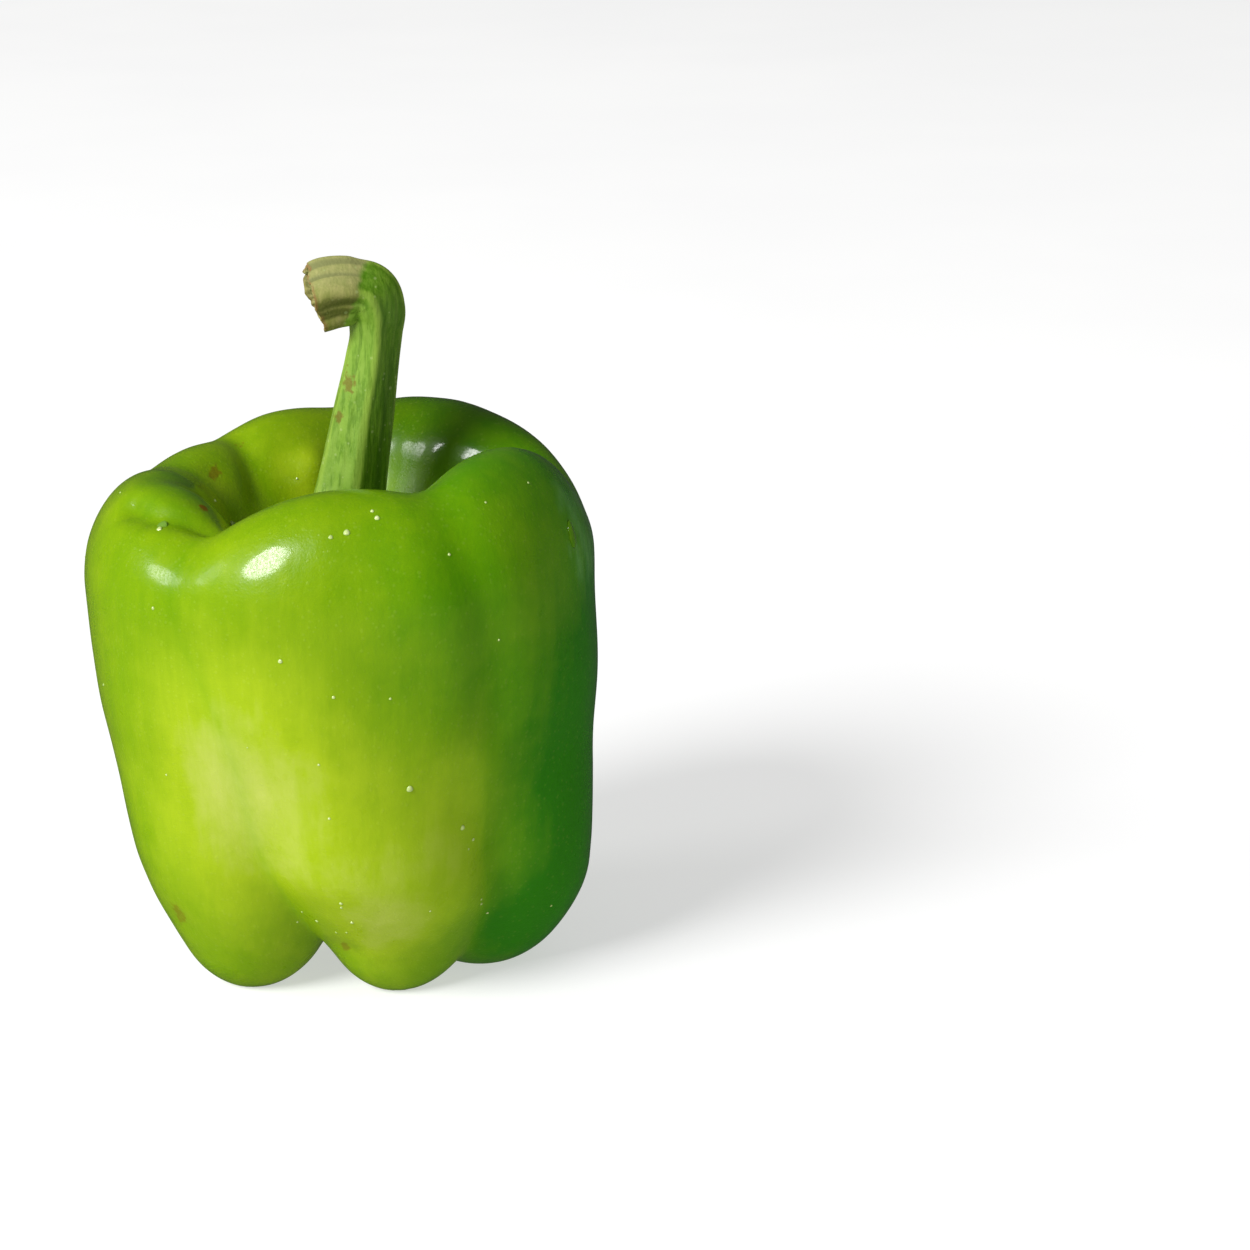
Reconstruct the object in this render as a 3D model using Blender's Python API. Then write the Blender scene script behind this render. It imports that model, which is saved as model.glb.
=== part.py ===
"""A bell pepper standing on the tips of its lobes: the fruit, its calyx and its cut stem.

The row frame is in metres, +Z up. The origin lies on the surface that the pepper stands on, at the middle
of the whole pepper's box. The front of the pepper looks along -Y.
"""

import math

import bmesh
import bpy
import numpy as np

MM = 0.001

# The fruit is six lobes round a core. Each is a field, deepest in its middle, and they run together.
SEAT_HEIGHT = 73.5 * MM  # the floor of the well, where the calyx sits
HOLLOW_HEIGHT = 13 * MM  # the ceiling of the hollow between the lobe tips
CORE_RADIUS = 21 * MM

# Heights at which a lobe's section is given: near its tip, low down, at its waist and at its shoulder.
STATIONS = (6 * MM, 26 * MM, 50 * MM, 75 * MM)
INNER_REACH = (3.9 * MM, -2.4 * MM, -9.8 * MM, 16.8 * MM)  # a lobe's near side; negative is past the axis
BLEND = (1 * MM, 1.3 * MM, 4.9 * MM, 4.8 * MM)  # how softly lobes run into each other
TIP_ROUND = 19.4 * MM
FIELD_SCALE = 20 * MM  # makes a lobe's field read roughly as a distance

# Each lobe: azimuths in degrees from +X, outer reach from the axis and half width across, at the four
# stations, and the heights of its tip and crest. A tip below zero is pressed flat where it rests.
LOBES = {
    "front": {
        "azimuth": (-57, -79, -86, -89),
        "reach": (26.9 * MM, 37.2 * MM, 39.3 * MM, 41.6 * MM),
        "half_width": (15.2 * MM, 18.9 * MM, 22.9 * MM, 23.9 * MM),
        "tip": -1 * MM,
        "crest": 88.3 * MM,
        "crest_round": 20.3 * MM,
    },
    "left": {
        "azimuth": (-152, -151, -157, -166),
        "reach": (32.5 * MM, 37.8 * MM, 40.6 * MM, 42.3 * MM),
        "half_width": (14.2 * MM, 18.4 * MM, 23.6 * MM, 21.2 * MM),
        "tip": -1 * MM,
        "crest": 85.9 * MM,
        "crest_round": 18.5 * MM,
    },
    "left_rear": {
        "azimuth": (-190, -197, -205, -213),
        "reach": (29 * MM, 34 * MM, 37.1 * MM, 38.5 * MM),
        "half_width": (10 * MM, 13.9 * MM, 16.3 * MM, 13.6 * MM),
        "tip": 7 * MM,
        "crest": 84.3 * MM,
        "crest_round": 17.9 * MM,
    },
    "rear_left": {
        "azimuth": (-236, -244, -249, -252),
        "reach": (32 * MM, 37 * MM, 40 * MM, 41.5 * MM),
        "half_width": (13 * MM, 18 * MM, 20.1 * MM, 16.3 * MM),
        "tip": -1 * MM,
        "crest": 87.8 * MM,
        "crest_round": 18.3 * MM,
    },
    "rear_right": {
        "azimuth": (62, 54, 51, 54),
        "reach": (33 * MM, 38 * MM, 40 * MM, 42.5 * MM),
        "half_width": (14 * MM, 18.9 * MM, 22.5 * MM, 25 * MM),
        "tip": -1 * MM,
        "crest": 90.9 * MM,
        "crest_round": 18.7 * MM,
    },
    "right": {
        "azimuth": (-3, -12, -16, -31),
        "reach": (39.4 * MM, 41 * MM, 41 * MM, 41 * MM),
        "half_width": (15.8 * MM, 19.9 * MM, 24 * MM, 24.5 * MM),
        "tip": -1 * MM,
        "crest": 90.8 * MM,
        "crest_round": 20.5 * MM,
    },
}

# Creases inside a lobe's shoulder: azimuth, depth, half width, and the heights over which it fades in.
FOLDS = (
    {"azimuth": -167, "depth": 2.6 * MM, "half_width": 4.5 * MM, "fade": (60 * MM, 80 * MM), "within": 34 * MM},
    {"azimuth": 66, "depth": 1.8 * MM, "half_width": 4.5 * MM, "fade": (55 * MM, 80 * MM), "within": 40 * MM},
)

# The spine inside the flesh: it runs out under the well, round inside the shoulder, down, and back in over
# the hollow. Rays leave it to find the skin. Each point is (distance from the axis, height, slope in degrees).
SPINE = (
    (0 * MM, 66 * MM, 90),
    (10 * MM, 66 * MM, 92),
    (18 * MM, 68 * MM, 105),
    (24 * MM, 70 * MM, 140),
    (27 * MM, 72 * MM, 150),
    (28 * MM, 72 * MM, 120),
    (28 * MM, 72 * MM, 90),
    (28 * MM, 72 * MM, 45),
    (27 * MM, 69 * MM, 5),
    (20 * MM, 50 * MM, 0),
    (18 * MM, 32 * MM, -10),
    (18 * MM, 22 * MM, -40),
    (18 * MM, 20 * MM, -75),
    (17 * MM, 20 * MM, -92),
    (15 * MM, 22 * MM, -112),
    (10 * MM, 24 * MM, -108),
    (5 * MM, 25 * MM, -98),
    (0 * MM, 25 * MM, -90),
)
FRUIT_AROUND, FRUIT_ALONG = 72, 56  # faces round the fruit, and from its top to its bottom

GAP = 0.45 * MM  # the clearance between one piece and the next

# The calyx.
CALYX_RADIUS = 13.6 * MM
CALYX_POINT = 2 * MM  # how far its points stand out, and the sides between them stand in
CALYX_POINTS = 5
CALYX_TURN = 190  # the azimuth of one point, in degrees
CALYX_THICKNESS = 1.6 * MM
CALYX_BOSS = 1.4 * MM  # how far the middle rises under the stem
CALYX_AROUND, CALYX_ALONG = 60, 16

# The stem's middle line from root to cut end, with its radius at each point.
STEM_PATH = (
    (0.6 * MM, 0 * MM, 77.6 * MM, 6 * MM),
    (0.9 * MM, 0 * MM, 79 * MM, 5.8 * MM),
    (2 * MM, 0 * MM, 84.5 * MM, 5.3 * MM),
    (3.8 * MM, 0.2 * MM, 94.4 * MM, 4.8 * MM),
    (5.6 * MM, 0.3 * MM, 103 * MM, 4.3 * MM),
    (6.3 * MM, 0.1 * MM, 107.6 * MM, 4.2 * MM),
    (6.3 * MM, -0.1 * MM, 111 * MM, 4.8 * MM),
    (5 * MM, -0.4 * MM, 113.8 * MM, 5.2 * MM),
    (1.6 * MM, -0.9 * MM, 114.7 * MM, 5.5 * MM),
    (-1.4 * MM, -1.3 * MM, 114.6 * MM, 5.4 * MM),
    (-4 * MM, -1.6 * MM, 113.8 * MM, 5.1 * MM),
)


def ease(z, values):
    """A smooth curve through a value at each station, level at its two ends."""
    at, value = np.array(STATIONS), np.array(values, float)
    slope = np.zeros(len(at))
    slope[1:-1] = (value[2:] - value[:-2]) / (at[2:] - at[:-2])
    i = np.clip(np.searchsorted(at, z) - 1, 0, len(at) - 2)
    gap = at[i + 1] - at[i]
    t = np.clip((z - at[i]) / gap, 0, 1)
    value_part = value[i] + (value[i + 1] - value[i]) * t**2 * (3 - 2 * t)
    return value_part + gap * (slope[i] * t * (1 - t) ** 2 - slope[i + 1] * t**2 * (1 - t))


def lobe_field(lobe, x, y, z):
    """How deep a point lies in one lobe: an ellipse across, rounded off at the tip and at the crest."""
    azimuth = np.radians(ease(z, lobe["azimuth"]))
    reach = ease(z, lobe["reach"])
    inner = ease(z, INNER_REACH)
    out = x * np.cos(azimuth) + y * np.sin(azimuth) - (reach + inner) / 2
    side = y * np.cos(azimuth) - x * np.sin(azimuth)
    low = np.clip((lobe["tip"] + TIP_ROUND - z) / TIP_ROUND, 0, None)
    high = np.clip((z - lobe["crest"] + lobe["crest_round"]) / lobe["crest_round"], 0, None)
    across = (2 * out / (reach - inner)) ** 2 + (side / ease(z, lobe["half_width"])) ** 2
    return FIELD_SCALE * (1 - np.sqrt(across + low**2 + high**2))


def core_field(x, y, z):
    """How deep a point lies in the middle of the fruit, between the hollow below and the calyx seat."""
    low = np.clip((HOLLOW_HEIGHT + 12 * MM - z) / (12 * MM), 0, None)
    high = np.clip((z - SEAT_HEIGHT + 6 * MM) / (6 * MM), 0, None)
    return FIELD_SCALE * (1 - np.sqrt((x**2 + y**2) / CORE_RADIUS**2 + low**2 + high**2))


def fruit_field(x, y, z):
    """How deep a point lies in the fruit: the lobes and core run together, less the folds."""
    blend = ease(z, BLEND)
    fields = [lobe_field(lobe, x, y, z) for lobe in LOBES.values()] + [core_field(x, y, z)]
    peak = np.maximum.reduce(fields)
    total = sum(np.exp((field - peak) / blend) for field in fields)
    depth = peak + blend * np.log(total)
    for fold in FOLDS:
        azimuth = math.radians(fold["azimuth"])
        along = x * math.cos(azimuth) + y * math.sin(azimuth)
        side = y * math.cos(azimuth) - x * math.sin(azimuth)
        fade = np.clip((z - fold["fade"][0]) / (fold["fade"][1] - fold["fade"][0]), 0, 1)
        near = np.clip((fold["within"] - along) / (12 * MM), 0, 1) * (along > 0)
        depth = depth - fold["depth"] * fade * near * np.exp(-((side / fold["half_width"]) ** 2))
    return depth


def skin_points(azimuth, row):
    """The skin met by the ray that leaves the spine at each row, 0 at the top pole to 1 at the bottom one."""
    at = np.linspace(0, 1, len(SPINE))
    start_r, start_z, slope = (np.interp(row, at, column) for column in np.array(SPINE).T)
    out, up = np.cos(np.radians(slope)), np.sin(np.radians(slope))

    def depth_at(distance):
        r = start_r + distance * out
        return fruit_field(r * np.cos(azimuth), r * np.sin(azimuth), start_z + distance * up)

    far = np.zeros(np.shape(row))
    for _ in range(40):
        far = np.where(depth_at(far) > 0, far + 1.2 * MM, far)
    near = far - 1.2 * MM
    for _ in range(18):
        middle = (near + far) / 2
        inside = depth_at(middle) > 0
        near, far = np.where(inside, middle, near), np.where(inside, far, middle)
    r = start_r + near * out
    return np.stack([r * np.cos(azimuth), r * np.sin(azimuth), start_z + near * up], axis=-1)


def even_rows(count):
    """Rows from pole to pole whose rays meet the skin at even steps along it."""
    fine = np.linspace(0, 1, 400)
    azimuth = np.radians(np.arange(0, 360, 15))
    points = skin_points(azimuth[:, None] + 0 * fine[None, :], fine[None, :] + 0 * azimuth[:, None])
    steps = np.linalg.norm(np.diff(points, axis=1), axis=2).mean(axis=0)
    length = np.concatenate([[0], np.cumsum(steps)])
    return np.interp(np.linspace(0, length[-1], count), length, fine)


def well_floor(x, y):
    """The height of the skin straight above a point of the well."""
    low, high = np.full(np.shape(x), 60 * MM), np.full(np.shape(x), 95 * MM)
    for _ in range(20):
        middle = (low + high) / 2
        inside = fruit_field(x, y, middle) > 0
        low, high = np.where(inside, middle, low), np.where(inside, high, middle)
    return low


def make_material(name, colour, roughness):
    material = bpy.data.materials.new(name)
    material.use_nodes = True
    shader = material.node_tree.nodes["Principled BSDF"]
    shader.inputs["Base Color"].default_value = (*colour, 1)
    shader.inputs["Roughness"].default_value = roughness
    shader.inputs["Metallic"].default_value = 0
    return material


def add_object(name, data, material, collection):
    data.materials.append(material)
    obj = bpy.data.objects.new(name, data)
    collection.objects.link(obj)
    return obj


def ball_mesh(name, around, along, place):
    """A ball whose points are moved to place(azimuth, row), row running 0 to along from top to bottom."""
    ball = bmesh.new()
    bmesh.ops.create_uvsphere(ball, u_segments=around, v_segments=along, radius=1)
    co = np.array([v.co for v in ball.verts])
    row = np.rint(np.arccos(np.clip(co[:, 2], -1, 1)) / math.pi * along).astype(int)
    for vert, point in zip(ball.verts, place(np.arctan2(co[:, 1], co[:, 0]), row)):
        vert.co = point
    mesh = bpy.data.meshes.new(name)
    ball.to_mesh(mesh)
    ball.free()
    mesh.shade_smooth()
    return mesh


def make_fruit(collection):
    """The fleshy body, from the calyx seat over the shoulders and down to the pressed lobe tips."""
    rows = even_rows(FRUIT_ALONG + 1)

    def place(azimuth, row):
        points = skin_points(azimuth, rows[row])
        points[:, 2] = np.maximum(points[:, 2], 0)
        return points

    mesh = ball_mesh("fruit", FRUIT_AROUND, FRUIT_ALONG, place)
    add_object("fruit", mesh, make_material("fruit_skin", (0.16, 0.33, 0.01), 0.25), collection)


def make_calyx(collection):
    """The cap at the root of the stem: a pointed disc that follows the floor of the well."""

    def place(azimuth, row):
        polar = row / CALYX_ALONG * math.pi
        edge = CALYX_RADIUS + CALYX_POINT * np.cos(CALYX_POINTS * (azimuth - math.radians(CALYX_TURN)))
        r = edge * np.sin(polar) ** 0.8
        x, y = r * np.cos(azimuth), r * np.sin(azimuth)
        boss = CALYX_BOSS * np.exp(-((r / (8.5 * MM)) ** 4))
        rise = (CALYX_THICKNESS + boss) * np.clip(np.cos(polar) * 3 + 0.5, 0, 1)
        return np.stack([x, y, well_floor(x, y) + GAP + rise], axis=-1)

    mesh = ball_mesh("calyx", CALYX_AROUND, CALYX_ALONG, place)
    add_object("calyx", mesh, make_material("calyx_skin", (0.08, 0.19, 0.03), 0.5), collection)


def make_stem(collection):
    """The stem: it leans to the right as it rises, then hooks over to the left and ends in a flared cut."""
    curve = bpy.data.curves.new("stem", "CURVE")
    curve.dimensions = "3D"
    curve.bevel_depth = 1 * MM
    curve.bevel_resolution = 4
    curve.resolution_u = 4
    curve.use_fill_caps = True
    spline = curve.splines.new("BEZIER")
    spline.bezier_points.add(len(STEM_PATH) - 1)
    for point, (x, y, z, radius) in zip(spline.bezier_points, STEM_PATH):
        point.co = (x, y, z)
        point.radius = radius / MM
        point.handle_left_type = "AUTO"
        point.handle_right_type = "AUTO"
    add_object("stem", curve, make_material("stem_skin", (0.19, 0.32, 0.05), 0.5), collection)


def main():
    for obj in list(bpy.data.objects):
        bpy.data.objects.remove(obj, do_unlink=True)
    collection = bpy.data.collections.new("bell_pepper")
    bpy.context.scene.collection.children.link(collection)
    make_fruit(collection)
    make_calyx(collection)
    make_stem(collection)


main()
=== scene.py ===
# A bell pepper standing on its lobe tips: glossy fruit, wrinkled calyx, ribbed stem with a torn end,
# and drops of water. Lengths in the dictionaries are in mm, unless a note there says metres.

import math

import bpy
import numpy as np
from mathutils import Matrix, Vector


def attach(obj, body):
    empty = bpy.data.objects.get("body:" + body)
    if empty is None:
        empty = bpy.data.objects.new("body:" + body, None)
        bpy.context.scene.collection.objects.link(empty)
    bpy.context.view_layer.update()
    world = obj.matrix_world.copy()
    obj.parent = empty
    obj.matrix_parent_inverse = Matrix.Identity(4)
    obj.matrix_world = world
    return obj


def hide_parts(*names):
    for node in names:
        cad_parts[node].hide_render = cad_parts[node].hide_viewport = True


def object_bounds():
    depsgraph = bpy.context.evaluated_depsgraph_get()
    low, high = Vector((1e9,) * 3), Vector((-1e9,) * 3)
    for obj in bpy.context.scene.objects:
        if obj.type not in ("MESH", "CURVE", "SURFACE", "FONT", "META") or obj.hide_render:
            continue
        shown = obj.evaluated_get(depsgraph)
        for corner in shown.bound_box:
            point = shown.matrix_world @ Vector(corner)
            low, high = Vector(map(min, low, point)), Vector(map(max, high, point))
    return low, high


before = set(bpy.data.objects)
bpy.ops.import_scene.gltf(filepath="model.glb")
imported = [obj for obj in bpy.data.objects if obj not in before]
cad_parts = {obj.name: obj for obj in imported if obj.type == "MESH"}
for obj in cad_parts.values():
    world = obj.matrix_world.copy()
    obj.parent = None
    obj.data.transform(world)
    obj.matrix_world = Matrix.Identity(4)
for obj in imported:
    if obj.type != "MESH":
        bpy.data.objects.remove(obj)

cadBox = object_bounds()
mm = 0.001  # Blender's unit is the metre
print("frame loaded, box in mm:", [[round(v / mm, 1) for v in corner] for corner in cadBox])


def smoothStep(low, high, value):
    # 0 below low, 1 above high, and the smooth cubic between them; with low above high it falls instead
    t = np.clip((value - low) / (high - low), 0, 1)
    return t * t * (3 - 2 * t)


def ripple(points, wavelength, seed, waves=28):
    # many sine waves in random directions with lengths near wavelength, added up: an even, endless ripple
    # that mostly stays between -1 and 1
    rng = np.random.default_rng(seed)
    direction = rng.normal(size=(waves, 3))
    direction /= np.linalg.norm(direction, axis=1)[:, None]
    turns = 2 * np.pi * direction / (wavelength * rng.uniform(0.65, 1.5, waves))[:, None]
    phase = rng.uniform(0, 2 * np.pi, waves)
    return np.sin(points @ turns.T + phase).sum(axis=-1) / math.sqrt(waves)


def gridNormals(rings):
    # the cross product of the step to the next ring and the step round a ring, divided by its length
    around = np.roll(rings, -1, axis=1) - np.roll(rings, 1, axis=1)
    along = np.gradient(rings, axis=0)
    normal = np.cross(along, around)
    normal /= np.linalg.norm(normal, axis=2)[:, :, None] + 1e-12
    return normal


def ringMesh(name, rings, firstPole, lastPole, values=None):
    # rings is an array (ring, step round it, xyz). Quads join each ring to the next, and a fan of triangles
    # closes each end on its pole. values holds a number per ring point for each named attribute
    rows, columns = rings.shape[:2]
    points = np.concatenate([rings.reshape(-1, 3), [firstPole], [lastPole]])
    index = np.arange(rows * columns).reshape(rows, columns)
    after = np.roll(index, -1, axis=1)
    quads = np.stack([index[:-1], index[1:], after[1:], after[:-1]], axis=-1).reshape(-1, 4)
    top, bottom = rows * columns, rows * columns + 1
    firstFan = np.stack([np.full(columns, top), index[0], after[0]], axis=-1)
    lastFan = np.stack([np.full(columns, bottom), after[-1], index[-1]], axis=-1)
    tris = np.concatenate([firstFan, lastFan])
    corners = np.concatenate([tris, quads[:, [0, 1, 2]], quads[:, [0, 2, 3]]])
    first, second, third = (points[corners[:, i]] for i in range(3))
    volume = np.einsum("ij,ij->", first, np.cross(second, third))
    if volume < 0:  # the faces look inwards, so every one is turned round
        quads, tris = quads[:, ::-1], tris[:, ::-1]
    mesh = bpy.data.meshes.new(name)
    mesh.vertices.add(len(points))
    mesh.vertices.foreach_set("co", points.ravel())
    mesh.loops.add(quads.size + tris.size)
    mesh.loops.foreach_set("vertex_index", np.concatenate([quads.ravel(), tris.ravel()]))
    mesh.polygons.add(len(quads) + len(tris))
    starts = np.concatenate([np.arange(len(quads)) * 4, quads.size + np.arange(len(tris)) * 3])
    mesh.polygons.foreach_set("loop_start", starts)
    mesh.update(calc_edges=True)
    mesh.validate()
    mesh.shade_smooth()
    for label, numbers in (values or {}).items():
        data = np.concatenate([numbers.ravel(), [numbers[0].mean(), numbers[-1].mean()]])
        mesh.attributes.new(label, "FLOAT", "POINT").data.foreach_set("value", data.astype(np.float32))
    obj = bpy.data.objects.new(name, mesh)
    bpy.context.scene.collection.objects.link(obj)
    return obj


def put(tree, kind, sockets=None, **settings):
    # adds a node; a socket given a socket is linked, and one given a value is set
    newNode = tree.nodes.new(kind)
    for key, value in settings.items():
        setattr(newNode, key, value)
    for key, value in (sockets or {}).items():
        if isinstance(value, bpy.types.NodeSocket):
            tree.links.new(value, newNode.inputs[key])
        else:
            newNode.inputs[key].default_value = value
    return newNode


def calc(tree, operation, *values):
    # a Math node on the values given
    return put(tree, "ShaderNodeMath", dict(enumerate(values)), operation=operation).outputs[0]


def remap(tree, value, fromLow, fromHigh, toLow=0.0, toHigh=1.0, smooth=True):
    # a Map Range node from one range to another
    kind = "SMOOTHSTEP" if smooth else "LINEAR"
    sockets = {"Value": value, 1: fromLow, 2: fromHigh, 3: toLow, 4: toHigh}
    return put(tree, "ShaderNodeMapRange", sockets, interpolation_type=kind).outputs[0]


def tint(tree, factor, first, second, blend="MIX"):
    # a Mix node on two colours
    sockets = {0: factor, 6: first, 7: second}
    return put(tree, "ShaderNodeMix", sockets, data_type="RGBA", blend_type=blend).outputs[2]


def dab(tree, colour, paint, mask, amount):
    # lays a paint over a colour where the mask is, by the amount
    return tint(tree, calc(tree, "MULTIPLY", mask, amount), colour, paint)


def attribute(tree, name):
    # the number stored at each point of the mesh
    return put(tree, "ShaderNodeAttribute", attribute_name=name).outputs["Fac"]


def position(tree):
    # the place in the object's own coordinates
    return put(tree, "ShaderNodeTexCoord").outputs["Object"]


def stretch(tree, where, scale):
    # a scale below 1 along an axis draws a pattern out along it
    return put(tree, "ShaderNodeMapping", {"Vector": where, "Scale": scale}).outputs[0]


def noise(tree, where, scale, detail):
    # a Noise Texture with the scale per metre
    sockets = {"Vector": where, "Scale": scale, "Detail": detail}
    return put(tree, "ShaderNodeTexNoise", sockets).outputs["Fac"]


def sizesAway(tree, where, centre, size):
    # the distance from a centre, counted in sizes along each axis
    away = put(tree, "ShaderNodeVectorMath", {0: where, 1: centre}, operation="SUBTRACT").outputs[0]
    shaped = put(tree, "ShaderNodeVectorMath", {0: away, 1: size}, operation="DIVIDE").outputs[0]
    return put(tree, "ShaderNodeVectorMath", {0: shaped}, operation="LENGTH").outputs["Value"]


def inMetres(lengths):
    return tuple(length * mm for length in lengths)


def setRelief(tree, shader, height, strength, depth):
    # fine relief through the shader's normal, its depth in mm
    bump = put(tree, "ShaderNodeBump", {"Height": height, "Strength": strength, "Distance": depth * mm})
    tree.links.new(bump.outputs["Normal"], shader.inputs["Normal"])


def newGroup(name, inputs, outputs):
    # a shader node group with named float, colour or vector sockets
    group = bpy.data.node_groups.new(name, "ShaderNodeTree")
    kinds = {"float": "NodeSocketFloat", "vector": "NodeSocketVector", "colour": "NodeSocketColor"}
    for label, kind, value in inputs:
        socket = group.interface.new_socket(label, in_out="INPUT", socket_type=kinds[kind])
        if value is not None:
            socket.default_value = value
    for label, kind in outputs:
        group.interface.new_socket(label, in_out="OUTPUT", socket_type=kinds[kind])
    return group, group.nodes.new("NodeGroupInput"), group.nodes.new("NodeGroupOutput")


def newMaterial(name, constants):
    # a material whose shader has the constant values given
    material = bpy.data.materials.new(name)
    material.use_nodes = True
    tree = material.node_tree
    shader = tree.nodes["Principled BSDF"]
    for label, value in constants.items():
        shader.inputs[label].default_value = value
    return material, tree, shader


def makeMottle():
    # cloudy variation: a coarse noise and a finer one added, from 0 to 1 about a half
    group, given, result = newGroup(
        "mottle", [("Vector", "vector", None), ("Size", "float", 0.01)], [("Value", "float")])
    scale = calc(group, "DIVIDE", 1.0, given.outputs["Size"])
    coarse = noise(group, given.outputs["Vector"], scale, 3.0)
    fine = noise(group, given.outputs["Vector"], calc(group, "MULTIPLY", scale, 4.3), 2.0)
    total = calc(group, "ADD", calc(group, "MULTIPLY", coarse, 0.7), calc(group, "MULTIPLY", fine, 0.3))
    group.links.new(remap(group, total, 0.33, 0.67), result.inputs["Value"])
    return group


def makeSpeckle():
    # scattered dots: near a random point of each cell the mask is 1, and only some cells have a dot
    group, given, result = newGroup(
        "speckle",
        [("Vector", "vector", None), ("Spacing", "float", 0.002), ("Dot", "float", 0.2),
         ("Share", "float", 0.5)],
        [("Mask", "float")])
    scale = calc(group, "DIVIDE", 1.0, given.outputs["Spacing"])
    cells = put(group, "ShaderNodeTexVoronoi", {"Vector": given.outputs["Vector"], "Scale": scale})
    channel = put(group, "ShaderNodeSeparateColor", {"Color": cells.outputs["Color"]})
    size = calc(group, "MULTIPLY", given.outputs["Dot"], calc(group, "ADD", channel.outputs[1], 0.4))
    inner = calc(group, "MULTIPLY", size, 0.45)
    dot = remap(group, cells.outputs["Distance"], inner, size, 1.0, 0.0)
    chosen = calc(group, "LESS_THAN", channel.outputs[0], given.outputs["Share"])
    group.links.new(calc(group, "MULTIPLY", dot, chosen), result.inputs["Mask"])
    return group


def makeBlemish():
    # one ragged mark: distance from its centre over its size, pushed in and out by a noise
    group, given, result = newGroup(
        "blemish",
        [("Vector", "vector", None), ("Centre", "vector", None), ("Size", "vector", (1, 1, 1)),
         ("Ragged", "float", 0.5), ("Grain", "float", 0.001)],
        [("Mask", "float")])
    where = given.outputs["Vector"]
    away = sizesAway(group, where, given.outputs["Centre"], given.outputs["Size"])
    grain = noise(group, where, calc(group, "DIVIDE", 1.0, given.outputs["Grain"]), 3.0)
    push = calc(group, "MULTIPLY", calc(group, "SUBTRACT", grain, 0.5),
                calc(group, "MULTIPLY", given.outputs["Ragged"], 4.0))
    group.links.new(remap(group, calc(group, "ADD", away, push), 0.55, 1.05, 1.0, 0.0), result.inputs["Mask"])
    return group


mottle = makeMottle()
speckle = makeSpeckle()
blemish = makeBlemish()
print("shared effects made")


def use(tree, group, **sockets):
    # places a shared effect in a material with its own values
    return put(tree, "ShaderNodeGroup", sockets, node_tree=group).outputs[0]


def clouded(tree, where, size):
    # the mottle, its size in mm
    return use(tree, mottle, Vector=where, Size=size * mm)


def dotted(tree, where, spacing, dot, share):
    # the speckle: spacing in mm, dot in spacings, and the share of places that have a dot
    return use(tree, speckle, Vector=where, Spacing=spacing * mm, Dot=dot, Share=share)


def blotch(tree, where, centre, size, ragged, grain):
    # the blemish, its centre, size and grain in mm
    return use(tree, blemish, Vector=where, Centre=inMetres(centre), Size=inMetres(size),
               Ragged=ragged, Grain=grain * mm)


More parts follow.
